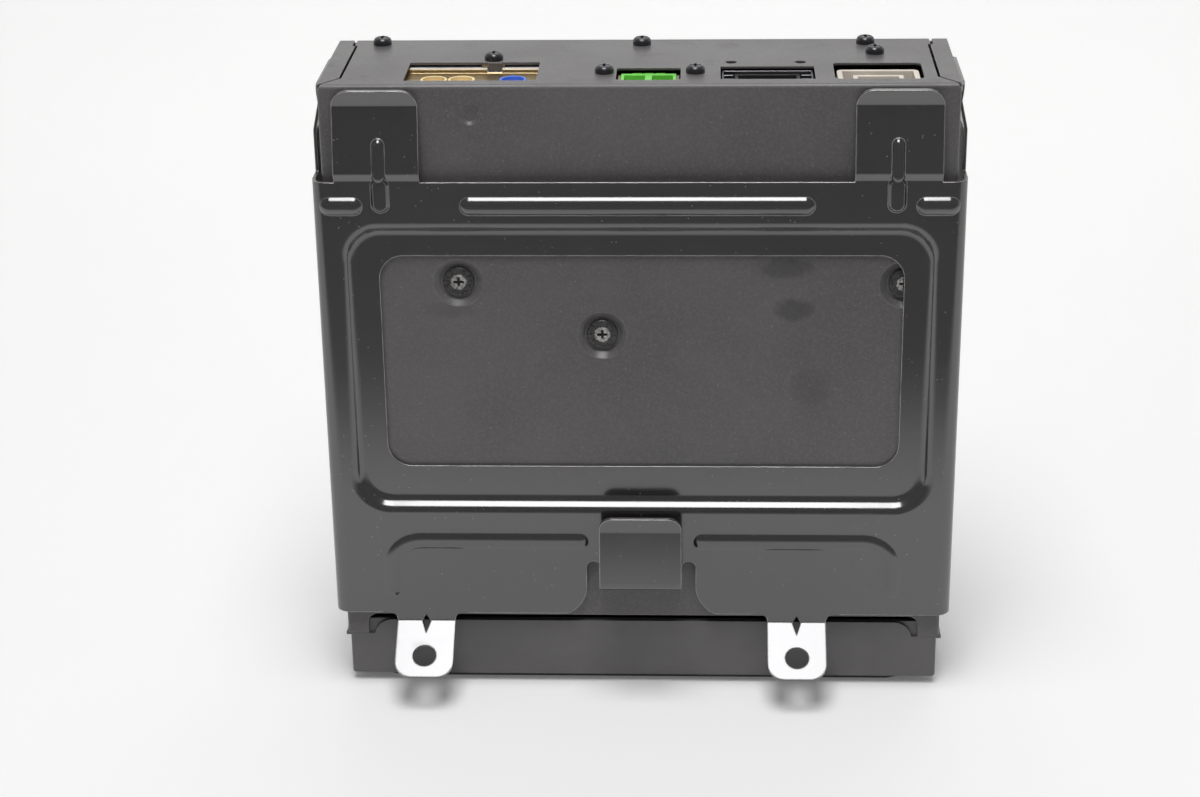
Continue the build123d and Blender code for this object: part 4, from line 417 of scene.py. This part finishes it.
def add_world():
    """Soft room light. The camera sees a white room; glossy paint sees it dim in front and pale behind."""
    world = bpy.data.worlds.new("studio")
    world.use_nodes = True
    tree = world.node_tree
    background = tree.nodes["Background"]
    background.inputs["Color"].default_value = ROOM_COLOR
    coords = tree.nodes.new("ShaderNodeTexCoord")
    axes = tree.nodes.new("ShaderNodeSeparateXYZ")
    tree.links.new(coords.outputs["Generated"], axes.inputs[0])
    facing = tree.nodes.new("ShaderNodeMapRange")
    tree.links.new(axes.outputs[1], facing.inputs["Value"])
    facing.inputs["From Min"].default_value, facing.inputs["From Max"].default_value = ROOM_TURN
    facing.inputs["To Min"].default_value, facing.inputs["To Max"].default_value = ROOM_MIRRORED
    path = tree.nodes.new("ShaderNodeLightPath")

    def choose(factor, otherwise, chosen):
        node = tree.nodes.new("ShaderNodeMix")
        node.data_type = "FLOAT"
        tree.links.new(factor, node.inputs["Factor"])
        for socket, value in ((node.inputs["A"], otherwise), (node.inputs["B"], chosen)):
            if isinstance(value, bpy.types.NodeSocket):
                tree.links.new(value, socket)
            else:
                socket.default_value = value
        return node.outputs["Result"]

    strength = choose(path.outputs["Is Glossy Ray"], ROOM_LIT, facing.outputs["Result"])
    strength = choose(path.outputs["Is Transmission Ray"], strength, ROOM_SEEN)
    strength = choose(path.outputs["Is Camera Ray"], strength, ROOM_SEEN)
    tree.links.new(strength, background.inputs["Strength"])
    bpy.context.scene.world = world


dress(paint("chassis_paint", (0.104, 0.099, 0.098, 1), 0.37, specks=0.8, scratch=0.12, peel=0.00002,
            smudge=0.08, marks=SMEARS),
      "lower_chassis", "top_cover")
# The bracket's edges get a strong lighter line: wear plus a painted highlight along every sharp edge.
dress(paint("bracket_paint", (0.020, 0.0185, 0.0182, 1), 0.14, specks=0.9, scratch=0.2, peel=0.000006,
            ior=2.05, edge_wear_and_highlight_share=0.9, seam_places=EAR_SEAMS),
      "mounting_bracket", "bracket_ears")
dress(sheet_metal("deck_sheet", (0.42, 0.42, 0.41, 1), 0.36),
      "deck_mount_frame", "deck_base", "deck_top_plate", "deck_posts", "clamp_arm", "cam_slider",
      "roller_bracket")
dress(sheet_metal("tin_sheet", (0.34, 0.30, 0.24, 1), 0.36), "white_socket_shell", "green_socket_locks")
dress(sheet_metal("passivated_sheet", (0.42, 0.33, 0.19, 1), 0.34), "coax_holder")
dress(sheet_metal("dark_tin_sheet", (0.16, 0.155, 0.165, 1), 0.34), "power_socket_shell")
dress(worn_screws("deck_screws", DECK_SCREWS), "deck_screws")
dress(bright_metal("bright_screw", (0.50, 0.49, 0.48, 1), 0.28),
      "bracket_screws", "damper_screws", "switch_board_screws", "cover_screws", "feed_motor",
      "loading_motor", "spindle_motor")
dress(bright_metal("ground_rod", (0.62, 0.62, 0.62, 1), 0.16),
      "guide_rods", "lead_screw", "roller_shaft", "clamp_pin")
dress(bright_metal("gold_contact", (0.80, 0.58, 0.24, 1), 0.22),
      "coax_contacts", "green_socket_pins", "power_socket_pins", "white_socket_pins")
dress(plastic("black_screw", (0.018, 0.018, 0.022, 1), 0.26, specular=0.7, grain_depth=0.00001),
      "rear_panel_screws")
dress(plastic("black_plastic", (0.115, 0.110, 0.112, 1), 0.45),
      "front_fascia", "eject_button", "clamp_puck", "pickup_sled", "turntable", "board_capacitors",
      "eject_switch")
dress(plastic("socket_black", (0.022, 0.022, 0.024, 1), 0.38), "power_socket")
dress(plastic("green_plastic", rgb(112, 214, 74), 0.36), "green_socket")
dress(plastic("beige_plastic", rgb(216, 208, 194), 0.42), "white_socket", "board_ribbon_socket")
dress(plastic("white_plastic", rgb(240, 237, 232), 0.4), "coax_module_body")
dress(plastic("yellow_plastic", rgb(252, 230, 176), 0.36), "coax_socket_yellow_1", "coax_socket_yellow_2")
dress(plastic("blue_plastic", rgb(96, 138, 240), 0.36), "coax_socket_blue")
dress(plastic("gear_plastic", rgb(232, 228, 214), 0.4), "roller_gear", "idler_gear", "motor_pinion")
dress(plastic("felt", (0.02, 0.02, 0.02, 1), 0.95, grain_scale=3200.0, grain_depth=0.00015, specular=0.1),
      "disc_felts")
dress(plastic("rubber", (0.02, 0.02, 0.02, 1), 0.7, specular=0.3), "damper_bushes", "roller_rubbers")
dress(plastic("board_green", (0.012, 0.10, 0.035, 1), 0.3), "main_circuit_board", "switch_board")
dress(plastic("chip_black", (0.015, 0.015, 0.017, 1), 0.5), "board_chips")
dress(plastic("flex_film", rgb(176, 118, 40), 0.25), "deck_ribbon")
dress(clear_plastic("clear_plastic"), "light_guide", "objective_lens", "indicator_led")

add_stage()
for lamp in LAMPS:
    add_lamp(*lamp)
add_world()
add_camera()
bpy.context.scene.view_settings.view_transform = "Standard"
